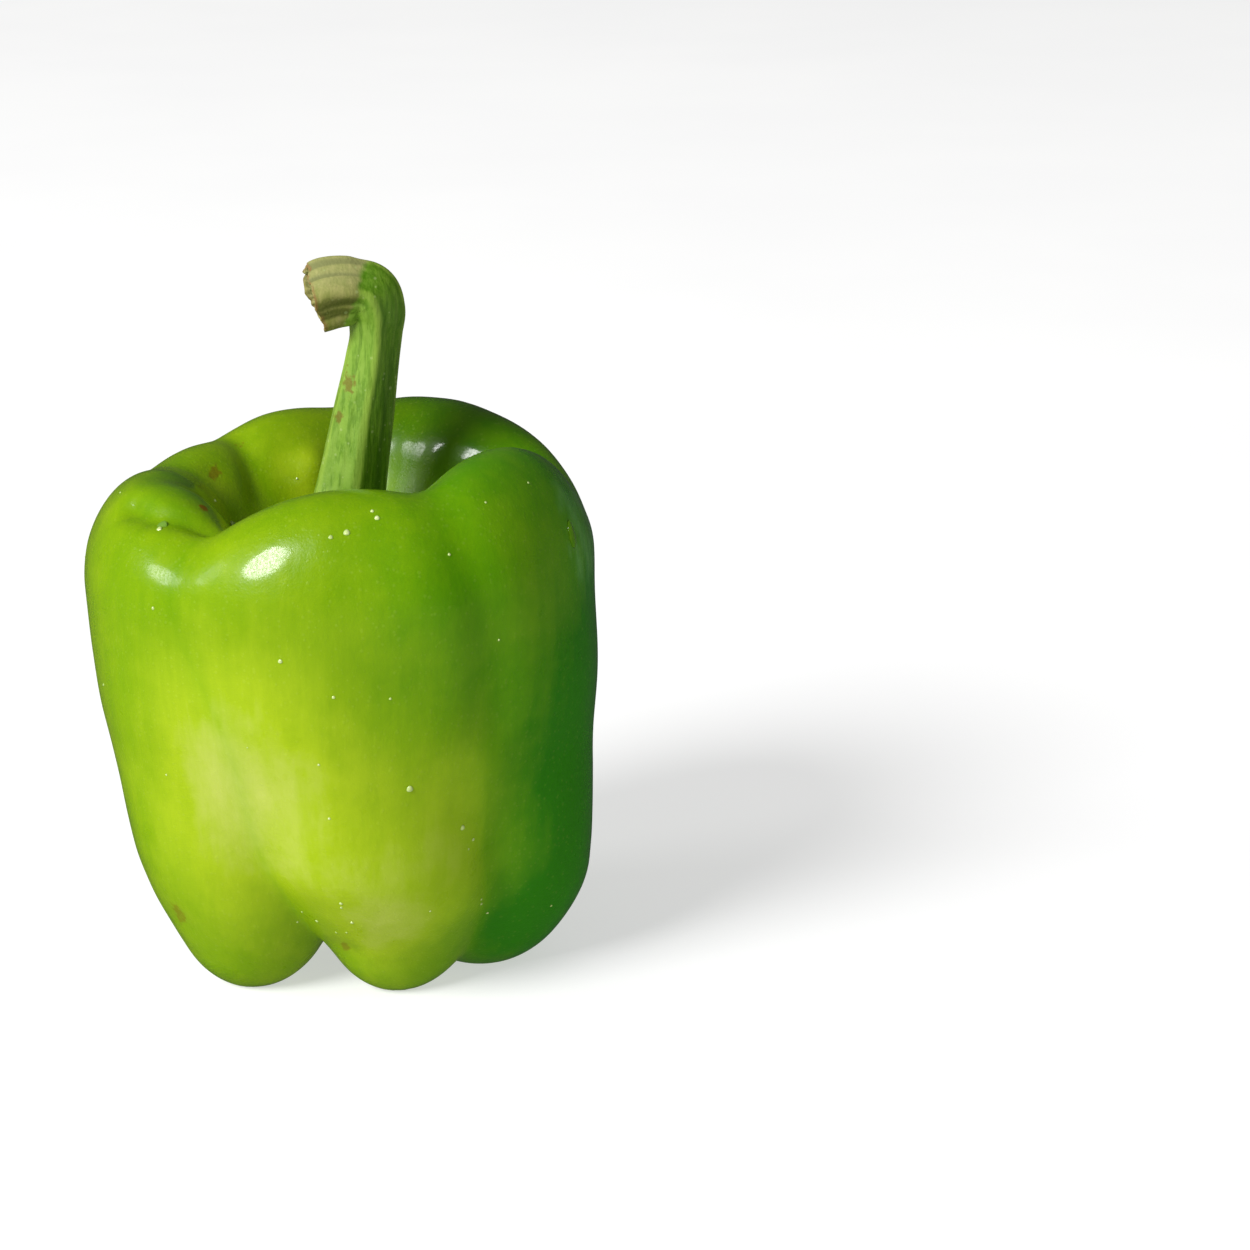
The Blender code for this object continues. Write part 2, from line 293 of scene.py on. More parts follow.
# Six lobes round a core. A lobe's azimuth, in degrees from +X, its reach and its half width are given at the
# four heights in stations; tip and crest are its ends.
fruit = {
    "stations": (6, 26, 50, 75),
    "innerReach": (3.9, -2.4, -9.8, 16.8),
    "blend": (1, 1.3, 4.9, 4.8),
    "tipRound": 19.4,
    "fieldScale": 20,
    "coreRadius": 21,
    "seatHeight": 73.5,
    "seatRound": 6,
    "hollowHeight": 13,
    "hollowRound": 12,
    "lobes": {
        "front": {
            "azimuth": (-57, -79, -86, -89), "reach": (26.9, 37.2, 39.3, 41.6),
            "halfWidth": (15.2, 18.9, 22.9, 23.9), "tip": -1, "crest": 88.3, "crestRound": 20.3},
        "left": {
            "azimuth": (-152, -151, -157, -166), "reach": (32.5, 37.8, 40.6, 42.3),
            "halfWidth": (14.2, 18.4, 23.6, 21.2), "tip": -1, "crest": 85.9, "crestRound": 18.5},
        "leftRear": {
            "azimuth": (-190, -197, -205, -213), "reach": (29, 34, 37.1, 38.5),
            "halfWidth": (10, 13.9, 16.3, 13.6), "tip": 7, "crest": 84.3, "crestRound": 17.9},
        "rearLeft": {
            "azimuth": (-236, -244, -249, -252), "reach": (32, 37, 40, 41.5),
            "halfWidth": (13, 18, 20.1, 16.3), "tip": -1, "crest": 87.8, "crestRound": 18.3},
        "rearRight": {
            "azimuth": (62, 54, 51, 54), "reach": (33, 38, 40, 42.5),
            "halfWidth": (14, 18.9, 22.5, 25), "tip": -1, "crest": 90.9, "crestRound": 18.7},
        "right": {
            "azimuth": (-3, -12, -16, -31), "reach": (39.4, 41, 41, 41),
            "halfWidth": (15.8, 19.9, 24, 24.5), "tip": -1, "crest": 90.8, "crestRound": 20.5},
    },
    # creases inside the shoulder: azimuth, depth, half width, the heights of the fade and the outer radius
    "folds": ((-167, 2.2, 4.5, 60, 80, 34), (60, 0.7, 3.5, 55, 80, 34)),
    "foldFade": 12,
    # shallow grooves pressed into the skin: depth, half width and the points they run through
    "grooves": (
        (1.5, 2.4, ((-34, -14, 83), (-30, -18.3, 82.3), (-24, -20.7, 82), (-19, -23, 81))),
        (0.8, 2.5, ((-17, 20, 86), (-15, 15, 82), (-13, 11, 78))),
        (1.7, 5.0, ((2, 23, 78.5), (8, 21.5, 79), (13.5, 18, 79), (19, 12.5, 79), (22, 8, 79))),
        (1.2, 5.0, ((11.5, -24, 88.5), (14.6, -31.1, 88), (17.2, -35.7, 83.5), (19.3, -37.6, 78.4),
                    (22, -37.7, 71.2), (23.1, -35.5, 62.5), (23.1, -32.6, 51.7))),
    ),
    # the spine inside the flesh that rays leave: distance from the axis, height, slope in degrees
    "spine": (
        (0, 66, 90), (10, 66, 92), (18, 68, 105), (24, 70, 140), (27, 72, 150), (28, 72, 120), (28, 72, 90),
        (28, 72, 45), (27, 69, 5), (20, 50, 0), (18, 32, -10), (18, 22, -40), (18, 20, -75), (17, 20, -92),
        (15, 22, -112), (10, 24, -108), (5, 25, -98), (0, 25, -90)),
    "stepsRound": 384,
    "steps": 250,
    "coarseStepsRound": 96,
    "coarseEvery": 5,  # the coarse grid has one row for this many
    "rowSamples": 400,  # how finely, and at how many degrees apart, the rows are measured
    "rowTurn": 15,
    "rayStep": 1.4,
    "raySteps": 34,
    "rayHalvings": 14,
    "guessMargin": 1.6,
    "guessHalvings": 13,
    "wellHeights": (60, 95),  # the floor of the well is looked for between these
    "wellHalvings": 18,
    "midHeight": 45,
    "creaseWidth": 1.6,
    "grooveCrease": 0.45,  # how far a groove counts as a crease
    # painted shade on the side away from the lamps: each lobe's share of the darker colour
    "shadedLobes": {"right": 1.0, "rearRight": 0.55},
    "shadedFade": (0.45, 48, 80),  # how much of the shading goes, between these heights
    "shareBlend": (0.9, 5, 42, 78),  # width of the change between lobes, what is added, between these heights
    # uneven skin: wavelength and height of each ripple
    "waves": ((24, 0.10), (9, 0.012), (3.4, 0.003)),
    "waveSeed": 11,
    # ribs down the skin: how many, how far and how often they wander, and their share of ribHeight
    "ribs": ((23, 1.5, 3, 1.0), (41, 2, 2, 0.3)),
    "ribHeight": 0.018,
    "ribRise": (20, 55),  # the ribs fade in between these heights
    "ribReach": (24, 34),  # and between these distances from the axis
    # dents, or bumps where the depth is below 0: centre, radius and depth
    "dents": (
        (-28, -19, 14, 3.0, 0.35), (-1, -23.5, 10, 3.2, 0.5), (-21, 9, 82, 2.2, 0.2), (5, -41, 58, 9, 0.30),
        (-24, -33, 66, 7, 0.2), (-4.5, 18.5, 81, 3.4, -1.5), (37, 2, 81, 13, 1.3), (24, 22, 88, 11, 0.6)),
    # the blossom scar: height and radius of its nub, depth, distance and width of the ring round it
    "scar": (0.5, 1.6, 0.35, 2.6, 1.0),
    "scarBelow": 20,
}


def easeAt(z, values):
    # a smooth curve through a value at each station, level at both ends: cubic pieces joined at equal slopes
    at, value = np.array(fruit["stations"]) * mm, np.array(values, float)
    slope = np.zeros(len(at))
    slope[1:-1] = (value[2:] - value[:-2]) / (at[2:] - at[:-2])
    i = np.clip(np.searchsorted(at, z) - 1, 0, len(at) - 2)
    gap = at[i + 1] - at[i]
    t = np.clip((z - at[i]) / gap, 0, 1)
    rise = value[i] + (value[i + 1] - value[i]) * t**2 * (3 - 2 * t)
    return rise + gap * (slope[i] * t * (1 - t) ** 2 - slope[i + 1] * t**2 * (1 - t))


def lobeField(lobe, x, y, z):
    # how deep a point lies in one lobe: an ellipse across it, rounded off at the tip and at the crest
    azimuth = np.radians(easeAt(z, lobe["azimuth"]))
    reach = easeAt(z, lobe["reach"]) * mm
    inner = easeAt(z, fruit["innerReach"]) * mm
    out = x * np.cos(azimuth) + y * np.sin(azimuth) - (reach + inner) / 2
    side = y * np.cos(azimuth) - x * np.sin(azimuth)
    low = np.clip((lobe["tip"] * mm - z) / (fruit["tipRound"] * mm) + 1, 0, None)
    high = np.clip((z - lobe["crest"] * mm) / (lobe["crestRound"] * mm) + 1, 0, None)
    across = (2 * out / (reach - inner)) ** 2 + (side / (easeAt(z, lobe["halfWidth"]) * mm)) ** 2
    return fruit["fieldScale"] * mm * (1 - np.sqrt(across + low**2 + high**2))


def coreField(x, y, z):
    # how deep a point lies in the middle, between the hollow below and the seat of the calyx
    low = np.clip((fruit["hollowHeight"] * mm - z) / (fruit["hollowRound"] * mm) + 1, 0, None)
    high = np.clip((z - fruit["seatHeight"] * mm) / (fruit["seatRound"] * mm) + 1, 0, None)
    across = (x**2 + y**2) / (fruit["coreRadius"] * mm) ** 2
    return fruit["fieldScale"] * mm * (1 - np.sqrt(across + low**2 + high**2))


def allFields(x, y, z):
    return [lobeField(lobe, x, y, z) for lobe in fruit["lobes"].values()] + [coreField(x, y, z)]


def fruitField(x, y, z):
    # the lobes and the core run together by the logarithm of a sum of powers, less the folds
    blend = easeAt(z, fruit["blend"]) * mm
    fields = allFields(x, y, z)
    peak = np.maximum.reduce(fields)
    depth = peak + blend * np.log(sum(np.exp((field - peak) / blend) for field in fields))
    for turn, foldDepth, halfWidth, low, high, within in fruit["folds"]:
        azimuth = math.radians(turn)
        along = x * math.cos(azimuth) + y * math.sin(azimuth)
        side = y * math.cos(azimuth) - x * math.sin(azimuth)
        fade = np.clip((z - low * mm) / ((high - low) * mm), 0, 1)
        near = np.clip((within * mm - along) / (fruit["foldFade"] * mm), 0, 1) * (along > 0)
        depth = depth - foldDepth * mm * fade * near * np.exp(-((side / (halfWidth * mm)) ** 2))
    return depth


def skinPoints(azimuth, row, guess=None):
    # the skin met by the ray that leaves the spine at each row, 0 at the top pole and 1 at the bottom one.
    # The ray is walked outwards until it leaves the flesh, then the last step is halved again and again
    at = np.linspace(0, 1, len(fruit["spine"]))
    startR, startZ, slope = (np.interp(row, at, column) for column in np.array(fruit["spine"], float).T)
    out, up = np.cos(np.radians(slope)), np.sin(np.radians(slope))
    startR, startZ = startR * mm, startZ * mm

    def depthAt(distance):
        r = startR + distance * out
        return fruitField(r * np.cos(azimuth), r * np.sin(azimuth), startZ + distance * up)

    if guess is None:
        step, halvings = fruit["rayStep"] * mm, fruit["rayHalvings"]
        far = np.zeros(np.shape(azimuth))
        for _ in range(fruit["raySteps"]):
            far = np.where(depthAt(far) > 0, far + step, far)
        near = far - step
    else:
        margin, halvings = fruit["guessMargin"] * mm, fruit["guessHalvings"]
        near, far = np.maximum(guess - margin, 0), guess + margin
    for _ in range(halvings):
        middle = (near + far) / 2
        inside = depthAt(middle) > 0
        near, far = np.where(inside, middle, near), np.where(inside, far, middle)
    r = startR + near * out
    return np.stack([r * np.cos(azimuth), r * np.sin(azimuth), startZ + near * up], axis=-1), near


def evenRows(count):
    # rows whose rays meet the skin at even steps along it, from the mean length over a few azimuths
    fine = np.linspace(0, 1, fruit["rowSamples"])
    azimuth, row = np.meshgrid(np.radians(np.arange(0, 360, fruit["rowTurn"])), fine, indexing="ij")
    points, _ = skinPoints(azimuth, row)
    steps = np.linalg.norm(np.diff(points, axis=1), axis=2).mean(axis=0)
    length = np.concatenate([[0], np.cumsum(steps)])
    return np.interp(np.linspace(0, length[-1], count), length, fine)


def wellFloor(x, y):
    # the height of the skin at a point of the well: the gap between a height in the flesh and one above it
    # is halved again and again
    low, high = (np.full(np.shape(x), height * mm) for height in fruit["wellHeights"])
    for _ in range(fruit["wellHalvings"]):
        middle = (low + high) / 2
        inside = fruitField(x, y, middle) > 0
        low, high = np.where(inside, middle, low), np.where(inside, high, middle)
    return low


def creaseDepth(points):
    # 1 where two lobes are equally deep, falling to 0 as one lobe takes over
    fields = np.sort(np.stack(allFields(*np.moveaxis(points, -1, 0))[:-1]), axis=0)
    return np.exp(-(fields[-1] - fields[-2]) / (fruit["creaseWidth"] * mm))


def lobeShare(points, name):
    # how far one lobe outweighs the others, from 0 to 1: sharp low down and soft near the shoulder
    width, added, low, high = fruit["shareBlend"]
    softness = (width + added * smoothStep(low, high, points[:, :, 2] / mm)) * mm
    fields = np.stack(allFields(*np.moveaxis(points, -1, 0))[:-1])
    weights = np.exp((fields - fields.max(axis=0)) / softness)
    return weights[list(fruit["lobes"]).index(name)] / weights.sum(axis=0)


def distanceToPath(points, path):
    # the shortest distance from each point to the straight pieces of a path
    best = np.full(points.shape[:2], 1.0)
    for start, end in zip(path[:-1], path[1:]):
        step = end - start
        share = np.clip(((points - start) @ step) / (step @ step), 0, 1)
        best = np.minimum(best, np.linalg.norm(points - start - share[:, :, None] * step, axis=2))
    return best


def fruitGrid():
    # the skin on a grid of rays: a coarse grid is walked first, and gives the fine one its guess
    rows = evenRows(fruit["steps"] + 2)[1:-1]
    azimuth = np.linspace(0, 2 * np.pi, fruit["stepsRound"], endpoint=False)
    coarseRows = rows[::fruit["coarseEvery"]]
    coarseTurns = np.linspace(0, 2 * np.pi, fruit["coarseStepsRound"] + 1)
    turn, row = np.meshgrid(coarseTurns, coarseRows)
    _, coarse = skinPoints(turn, row)
    guess = np.stack([np.interp(azimuth, coarseTurns, line) for line in coarse])
    guess = np.stack([np.interp(rows, coarseRows, line) for line in guess.T], axis=1)
    turn, row = np.meshgrid(azimuth, rows)
    points, _ = skinPoints(turn, row, guess)
    return points, turn


def skinSwell(points, turn):
    # how far each point moves out: ripples, ribs and the blossom scar, less the dents
    height, fromAxis = points[:, :, 2] / mm, np.hypot(points[:, :, 0], points[:, :, 1]) / mm
    swell = sum(rise * mm * ripple(points, length * mm, fruit["waveSeed"] + i)
                for i, (length, rise) in enumerate(fruit["waves"]))
    ribs = sum(share * np.sin(count * turn + wander * np.sin(times * turn))
               for count, wander, times, share in fruit["ribs"])
    fade = smoothStep(*fruit["ribRise"], height) * smoothStep(*fruit["ribReach"], fromAxis)
    swell += fruit["ribHeight"] * mm * ribs * fade
    for x, y, z, radius, depth in fruit["dents"]:
        away = np.linalg.norm(points - np.array([x, y, z]) * mm, axis=2)
        swell -= depth * mm * np.exp(-((away / (radius * mm)) ** 2))
    nub, nubRadius, ring, ringReach, ringWidth = fruit["scar"]
    scar = nub * np.exp(-((fromAxis / nubRadius) ** 2))
    scar -= ring * np.exp(-(((fromAxis - ringReach) / ringWidth) ** 2))
    return swell + (height < fruit["scarBelow"]) * scar * mm


def makeFruit():
    # every point of the grid moves along its normal by the swell, less the grooves, and none sinks below 0
    points, turn = fruitGrid()
    normal = gridNormals(points)
    if np.mean(np.einsum("ijk,ijk->ij", normal, points - [0, 0, fruit["midHeight"] * mm])) < 0:
        normal = -normal
    crease, swell = creaseDepth(points), skinSwell(points, turn)
    for depth, halfWidth, path in fruit["grooves"]:
        away = distanceToPath(points, np.array(path, float) * mm)
        groove = np.exp(-((away / (halfWidth * mm)) ** 2))
        swell -= depth * mm * groove
        crease = np.maximum(crease, fruit["grooveCrease"] * groove)
    # painted shade: darker colour on the right lobe and, by half, the rear right lobe, less of it towards the
    # shoulder
    shaded = sum(share * lobeShare(points, name) for name, share in fruit["shadedLobes"].items())
    amount, low, high = fruit["shadedFade"]
    shaded *= 1 - amount * smoothStep(low, high, points[:, :, 2] / mm)
    points = points + normal * swell[:, :, None]
    points[:, :, 2] = np.maximum(points[:, :, 2], 0)
    skin = ringMesh("fruit_skin_detailed", points, points[0].mean(axis=0), points[-1].mean(axis=0),
                    {"crease": crease, "shaded": shaded})
    return skin, points, normal


fruitFinish = {
    # colours from deep to pale, each at its place on the scale of paleness
    "shades": (
        (0.0, (0.022, 0.150, 0.0006, 1)), (0.48, (0.165, 0.285, 0.0010, 1)),
        (0.74, (0.270, 0.380, 0.0060, 1)), (1.0, (0.40, 0.455, 0.085, 1))),
    "cloudSize": 16,
    "cloudPaleness": (0.40, 0.52),
    "streakSize": 3.5,
    "streakStretch": (1, 1, 0.12),
    "streakPaleness": (-0.035, 0.035),
    "shadedPaleness": -0.33,  # painted shade: the right lobe, and the rear right one by half, darker than the others, as on the side away from the lamps; partly the lobe's own deeper green
    # soft lighter and darker areas of painted light and shade: lighter where the lamps and the floor's bounce
    # light fall, darker where shade falls, and a painted highlight on the well's inner wall left of the stem;
    # centre, size, and how much each adds to the paleness
    "lightAndShadeAreas": (
        ((-16, -34, 41), (17, 22, 24), 0.44), ((12, -34, 26), (20, 16, 26), 0.30),
        ((42, -6, 44), (18, 24, 60), -0.30), ((14, -40, 66), (17, 12, 22), -0.10),
        ((0, 36, 30), (34, 20, 26), 0.22), ((20, 14, 92), (24, 26, 15), -0.17),
        ((-21, 3, 81), (6, 7, 4), 0.14), ((-25, -8, 85), (10, 14, 6), -0.26),
        ((-6, 17, 79), (5, 5, 8), 0.26), ((0, -24, 90), (44, 12, 8), -0.15),
        ((24, -24, 6), (14, 14, 14), -0.25), ((5, -29, 15), (9, 9, 9), 0.20)),
    # painted shade in the creases: what the colour is multiplied by there, and how strongly
    "creaseShadeTint": (0.62, 0.80, 0.5, 1),
    "creaseShadeShare": 0.5,
    # painted shade: the shoulder at the back right, which faces away from the lamps, is a darker olive
    "shoulderShadeTint": (0.50, 0.48, 0.5, 1),
    "shoulderShadePlace": ((16, 22, 89), (26, 22, 13)),
    "shoulderShadeShare": 0.85,
    # the side turned from the sun and from the lamps is greener, from the first to the second place along X:
    # partly painted shade, partly the fruit's own colour
    "shadeSideGreenTint": (0.88, 1.08, 0.25, 1),
    "shadeSideFrom": (-4, 30),
    "dots": (0.8, 0.34, 0.6),  # spacing, dot size in spacings, share
    "dotPaint": (0.50, 0.60, 0.12, 1),
    "dotShare": 0.05,
    # a thin film of dried water on the right shoulder, lighter and blue-green: partly water smears, partly a
    # painted reflection of the bright room at the grazing edge; centre, size, raggedness, grain
    "smearSheenPlace": ((38.5, -6, 78), (7, 17, 13), 0.35, 6),
    "smearSheenWipes": ((1, 1, 0.3), 2.2),
    "smearSheenPaint": (0.15, 0.36, 0.11, 1),
    "smearSheenShare": 0.42,
    # brown marks: centre, size, strength
    "marks": (
        ((-20.7, 8.8, 82.5), (1.1, 2.4, 1.8), 0.62), ((-16.8, 19.5, 85.1), (0.9, 1.2, 1.0), 0.8),
        ((-21.8, -15.6, 82.7), (1.0, 1.1, 0.9), 1.0), ((-28.2, -19.2, 14.1), (1.4, 2.0, 4.2), 0.5),
        ((-1.2, -23.6, 10.4), (0.9, 1.4, 3.2), 0.5)),
    "markPaint": (0.15, 0.085, 0.001, 1),
    "markRagged": (0.5, 1.1),
    "markRoughness": 0.35,
    "roughness": (0.26, 0.36),
    "creaseDullness": 0.6,
    # patches with less gloss: centre, size, raggedness, grain, how dull
    "dullPatches": (
        ((-19.2, -34.0, 78.0), (4.6, 4.6, 5.5), 0.08, 4, 0.9),
        ((10.0, 16.5, 78.5), (11, 8, 6.2), 0.10, 3, 0.97)),
    "dullness": 0.92,  # the gloss that the dullest place loses
    # the gloss is finely broken up, so that a highlight has a grainy edge
    "gloss": (0.32, 0.68),
    "glossGrain": 3000.0,
    "pores": (2600.0, 0.45),  # scale and height
    "orangePeel": (850.0, 0.75),
    "dotHeight": 0.25,
    "reliefStrength": 0.42,
    "reliefDepth": 0.18,
    "constants": {
        "Coat Roughness": 0.11, "Coat IOR": 1.45, "Specular IOR Level": 0.10, "Subsurface Weight": 0.12,
        "Subsurface Radius": (0.9, 1.0, 0.2), "Subsurface Scale": 0.004},  # the last in metres
}


def fruitPaleness(tree, where, clouds):
    # the soft areas of painted light and shade, the clouds, the streaks and the painted shade on the right
    # lobes added up
    finish = fruitFinish
    total = 0.0
    for centre, size, amount in finish["lightAndShadeAreas"]:
        away = sizesAway(tree, where, inMetres(centre), inMetres(size))
        total = calc(tree, "ADD", total, remap(tree, away, 0.1, 1.5, amount, 0.0))
    streaks = clouded(tree, stretch(tree, where, finish["streakStretch"]), finish["streakSize"])
    for value, limits in ((clouds, finish["cloudPaleness"]), (streaks, finish["streakPaleness"])):
        total = calc(tree, "ADD", total, remap(tree, value, 0, 1, *limits, smooth=False))
    shaded = calc(tree, "MULTIPLY", attribute(tree, "shaded"), finish["shadedPaleness"])
    return calc(tree, "ADD", total, shaded)


def fruitColour(tree, where, clouds, crease, dots, marked):
    # the ramp's colour for the paleness, then the painted shade in the creases, the painted shade of the
    # tints, the dots, the film with its painted reflection and the marks laid over it
    finish = fruitFinish
    ramp = put(tree, "ShaderNodeValToRGB", {"Fac": fruitPaleness(tree, where, clouds)})
    elements = ramp.color_ramp.elements
    shades = finish["shades"]
    elements[0].position, elements[0].color = shades[0]
    elements[1].position, elements[1].color = shades[-1]
    for place, shade in shades[1:-1]:
        elements.new(place).color = shade
    colour = ramp.outputs["Color"]
    # painted shade: the colour is darkened in the creases between lobes and along the grooves
    creaseShade = tint(tree, 1.0, colour, finish["creaseShadeTint"], "MULTIPLY")
    colour = dab(tree, colour, creaseShade, crease, finish["creaseShadeShare"])
    # painted shade on the shoulder at the back right
    shoulderShade = tint(tree, 1.0, colour, finish["shoulderShadeTint"], "MULTIPLY")
    away = sizesAway(tree, where, *map(inMetres, finish["shoulderShadePlace"]))
    colour = tint(tree, remap(tree, away, 0.3, 1.3, finish["shoulderShadeShare"], 0.0), colour, shoulderShade)
    # partly painted shade: greener towards +X, away from the lamps
    shadeSideGreener = tint(tree, 1.0, colour, finish["shadeSideGreenTint"], "MULTIPLY")
    sideways = put(tree, "ShaderNodeSeparateXYZ", {"Vector": where}).outputs["X"]
    colour = tint(tree, remap(tree, sideways, *inMetres(finish["shadeSideFrom"])), colour, shadeSideGreener)
    colour = dab(tree, colour, finish["dotPaint"], dots, finish["dotShare"])
    # painted reflection of the room, laid on with the water smears on the right shoulder
    wipeStretch, wipeSize = finish["smearSheenWipes"]
    wipes = clouded(tree, stretch(tree, where, wipeStretch), wipeSize)
    smearSheen = calc(tree, "MULTIPLY", blotch(tree, where, *finish["smearSheenPlace"]), wipes)
    colour = dab(tree, colour, finish["smearSheenPaint"], smearSheen, finish["smearSheenShare"])
    return tint(tree, marked, colour, finish["markPaint"])


def fruitShine(tree, where, crease, marked):
    # the coat's weight: a grainy gloss, less in the creases, on the marks and in the dull patches
    finish = fruitFinish
    dull = calc(tree, "MAXIMUM", marked, remap(tree, crease, 0.25, 0.8, 0, finish["creaseDullness"]))
    for centre, size, ragged, grain, amount in finish["dullPatches"]:
        patch = blotch(tree, where, centre, size, ragged, grain)
        dull = calc(tree, "MAXIMUM", dull, calc(tree, "MULTIPLY", patch, amount))
    gloss = remap(tree, noise(tree, where, finish["glossGrain"], 1.0), 0.38, 0.62, *finish["gloss"])
    kept = calc(tree, "SUBTRACT", 1.0, calc(tree, "MULTIPLY", dull, finish["dullness"]))
    return calc(tree, "MULTIPLY", gloss, kept)


def makeFruitSkin():
    # waxy skin: a coloured body under a clear, grainy coat
    finish = fruitFinish
    material, tree, shader = newMaterial("glossyGreenSkin", finish["constants"])
    where, crease = position(tree), attribute(tree, "crease")
    clouds = clouded(tree, where, finish["cloudSize"])
    dots = dotted(tree, where, *finish["dots"])
    marked = 0.0
    for centre, size, strength in finish["marks"]:
        mark = calc(tree, "MULTIPLY", blotch(tree, where, centre, size, *finish["markRagged"]), strength)
        marked = calc(tree, "MAXIMUM", marked, mark)
    colour = fruitColour(tree, where, clouds, crease, dots, marked)
    tree.links.new(colour, shader.inputs["Base Color"])
    rough = calc(tree, "ADD", remap(tree, clouds, 0, 1, *finish["roughness"], smooth=False),
                 calc(tree, "MULTIPLY", marked, finish["markRoughness"]))
    tree.links.new(rough, shader.inputs["Roughness"])
    tree.links.new(fruitShine(tree, where, crease, marked), shader.inputs["Coat Weight"])
    height = calc(tree, "MULTIPLY", dots, finish["dotHeight"])
    for scale, amount in (finish["pores"], finish["orangePeel"]):
        height = calc(tree, "ADD", height, calc(tree, "MULTIPLY", noise(tree, where, scale, 2.0), amount))
    setRelief(tree, shader, height, finish["reliefStrength"], finish["reliefDepth"])
    return material


fruitObject, fruitPoints, fruitNormals = makeFruit()
fruitObject.data.materials.append(makeFruitSkin())
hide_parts("fruit")
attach(fruitObject, "root")
print("fruit made:", len(fruitObject.data.polygons), "faces")


calyx = {
    "corners": ((46, 15.4), (117, 15.8), (174, 18.6), (262, 15.0), (333, 16.4)),  # azimuth, radius in mm
    "sideRadius": 11.9,
    "gap": 0.4,
    "thickness": 1.3,
    "rimThinning": 0.45,  # the part of the thickness lost at the rim
    "curl": 1.5,
    "raisedCorner": (174, 16, 0.8),  # azimuth, spread in degrees and how much more that corner curls up
    "wrinkle": 0.75,
    "rays": (5.2, 5),  # how fast the wrinkles change round the plate, and their length along the radius
    "folds": ((2.3, 8, 0.7), (3.4, 9, 0.5)),  # wavelength, seed and share: along the rays, and crumpled in mm
    "deepestWrinkle": 0.25,
    "wrinkleFrom": (8.3, 10.5),  # the wrinkles fade in between these radii
    "ringRadius": 7.9,
    "ringWidth": 1.25,
    "ringHeight": 1.7,
    "middleRise": 1.6,
    "middleFade": (6.5, 9),
    "leastGap": 0.15,
    "edgeUneven": 0.025,
    "stepsRound": 240,
    "steps": 110,
}


def calyxEdge(azimuth):
    # straight-sided between its five corners: the radius falls from each corner to sideRadius half way
    corners = np.array(sorted(calyx["corners"]), float)
    at = np.radians(np.concatenate([[corners[-1, 0] - 360], corners[:, 0], [corners[0, 0] + 360]]))
    radius = np.concatenate([[corners[-1, 1]], corners[:, 1], [corners[0, 1]]])
    turn = np.mod(azimuth - at[0], 2 * np.pi) + at[0]
    i = np.clip(np.searchsorted(at, turn) - 1, 0, len(at) - 2)
    share = (turn - at[i]) / (at[i + 1] - at[i])
    corner = np.where(share < 0.5, radius[i], radius[i + 1])
    return (calyx["sideRadius"] + (corner - calyx["sideRadius"]) * np.abs(2 * share - 1) ** 1.7) * mm


def makeCalyx():
    # a wrinkled plate laid on the floor of the well: top and underside are the two halves of each ray from
    # pole to pole, and the top rises into a ring round the root of the stem
    azimuth = np.linspace(0, 2 * np.pi, calyx["stepsRound"], endpoint=False)
    polar = np.pi * np.linspace(0, 1, calyx["steps"] + 2)[1:-1]
    turn, angle = np.meshgrid(azimuth, polar)
    edge = calyxEdge(turn)
    uneven = ripple(np.stack([np.cos(turn), np.sin(turn), 0 * turn], axis=-1), 0.35, 5)
    edge = edge * (1 + calyx["edgeUneven"] * uneven)
    share = np.sin(angle) ** 0.8
    r = edge * share
    x, y = r * np.cos(turn), r * np.sin(turn)
    floor = wellFloor(x, y)
    # wrinkles run outwards: quick changes round the plate and slow ones along the radius
    rate, length = calyx["rays"]
    rays = np.stack([rate * np.cos(turn), rate * np.sin(turn), r / (length * mm)], axis=-1)
    (rayWave, raySeed, rayShare), (wave, seed, crumple) = calyx["folds"]
    folds = ripple(rays, rayWave, raySeed) * rayShare
    folds = folds + ripple(np.stack([x, y, floor], axis=-1), wave * mm, seed) * crumple
    spread = smoothStep(*calyx["wrinkleFrom"], r / mm)
    wrinkles = calyx["wrinkle"] * mm * folds * spread
    lift = calyx["curl"] * mm * share**9 * (0.6 + 0.4 * ripple(rays, 4, 12))
    corner, cornerSpread, more = calyx["raisedCorner"]
    lift *= 1 + more * np.exp(-((np.mod(np.degrees(turn), 360) - corner) / cornerSpread) ** 2)
    top = np.clip(np.cos(angle) * 2.6 + 0.45, 0, 1)
    thin = calyx["thickness"] * mm * (1 - calyx["rimThinning"] * share**6)
    ring = calyx["ringHeight"] * mm * np.exp(-(((r / mm - calyx["ringRadius"]) / calyx["ringWidth"]) ** 2))
    ring *= 1 + 0.15 * ripple(rays, 1.6, 15)
    middle = calyx["middleRise"] * mm * (1 - smoothStep(*calyx["middleFade"], r / mm))
    rise = (thin + ring + middle) * top
    wrinkled = np.maximum(wrinkles, -calyx["deepestWrinkle"] * mm) * (0.35 + 0.65 * top) * (share > 0.1)
    z = floor + calyx["gap"] * mm + wrinkled + lift + rise
    z = np.maximum(z, floor + calyx["leastGap"] * mm)
    points = np.stack([x, y, z], axis=-1)
    ringMask = np.clip(ring / (calyx["ringHeight"] * mm), 0, 1) * top
    return ringMesh("calyx_detailed", points, points[0].mean(axis=0), points[-1].mean(axis=0),
                    {"edge": share**8, "raised": folds, "ring": ringMask})


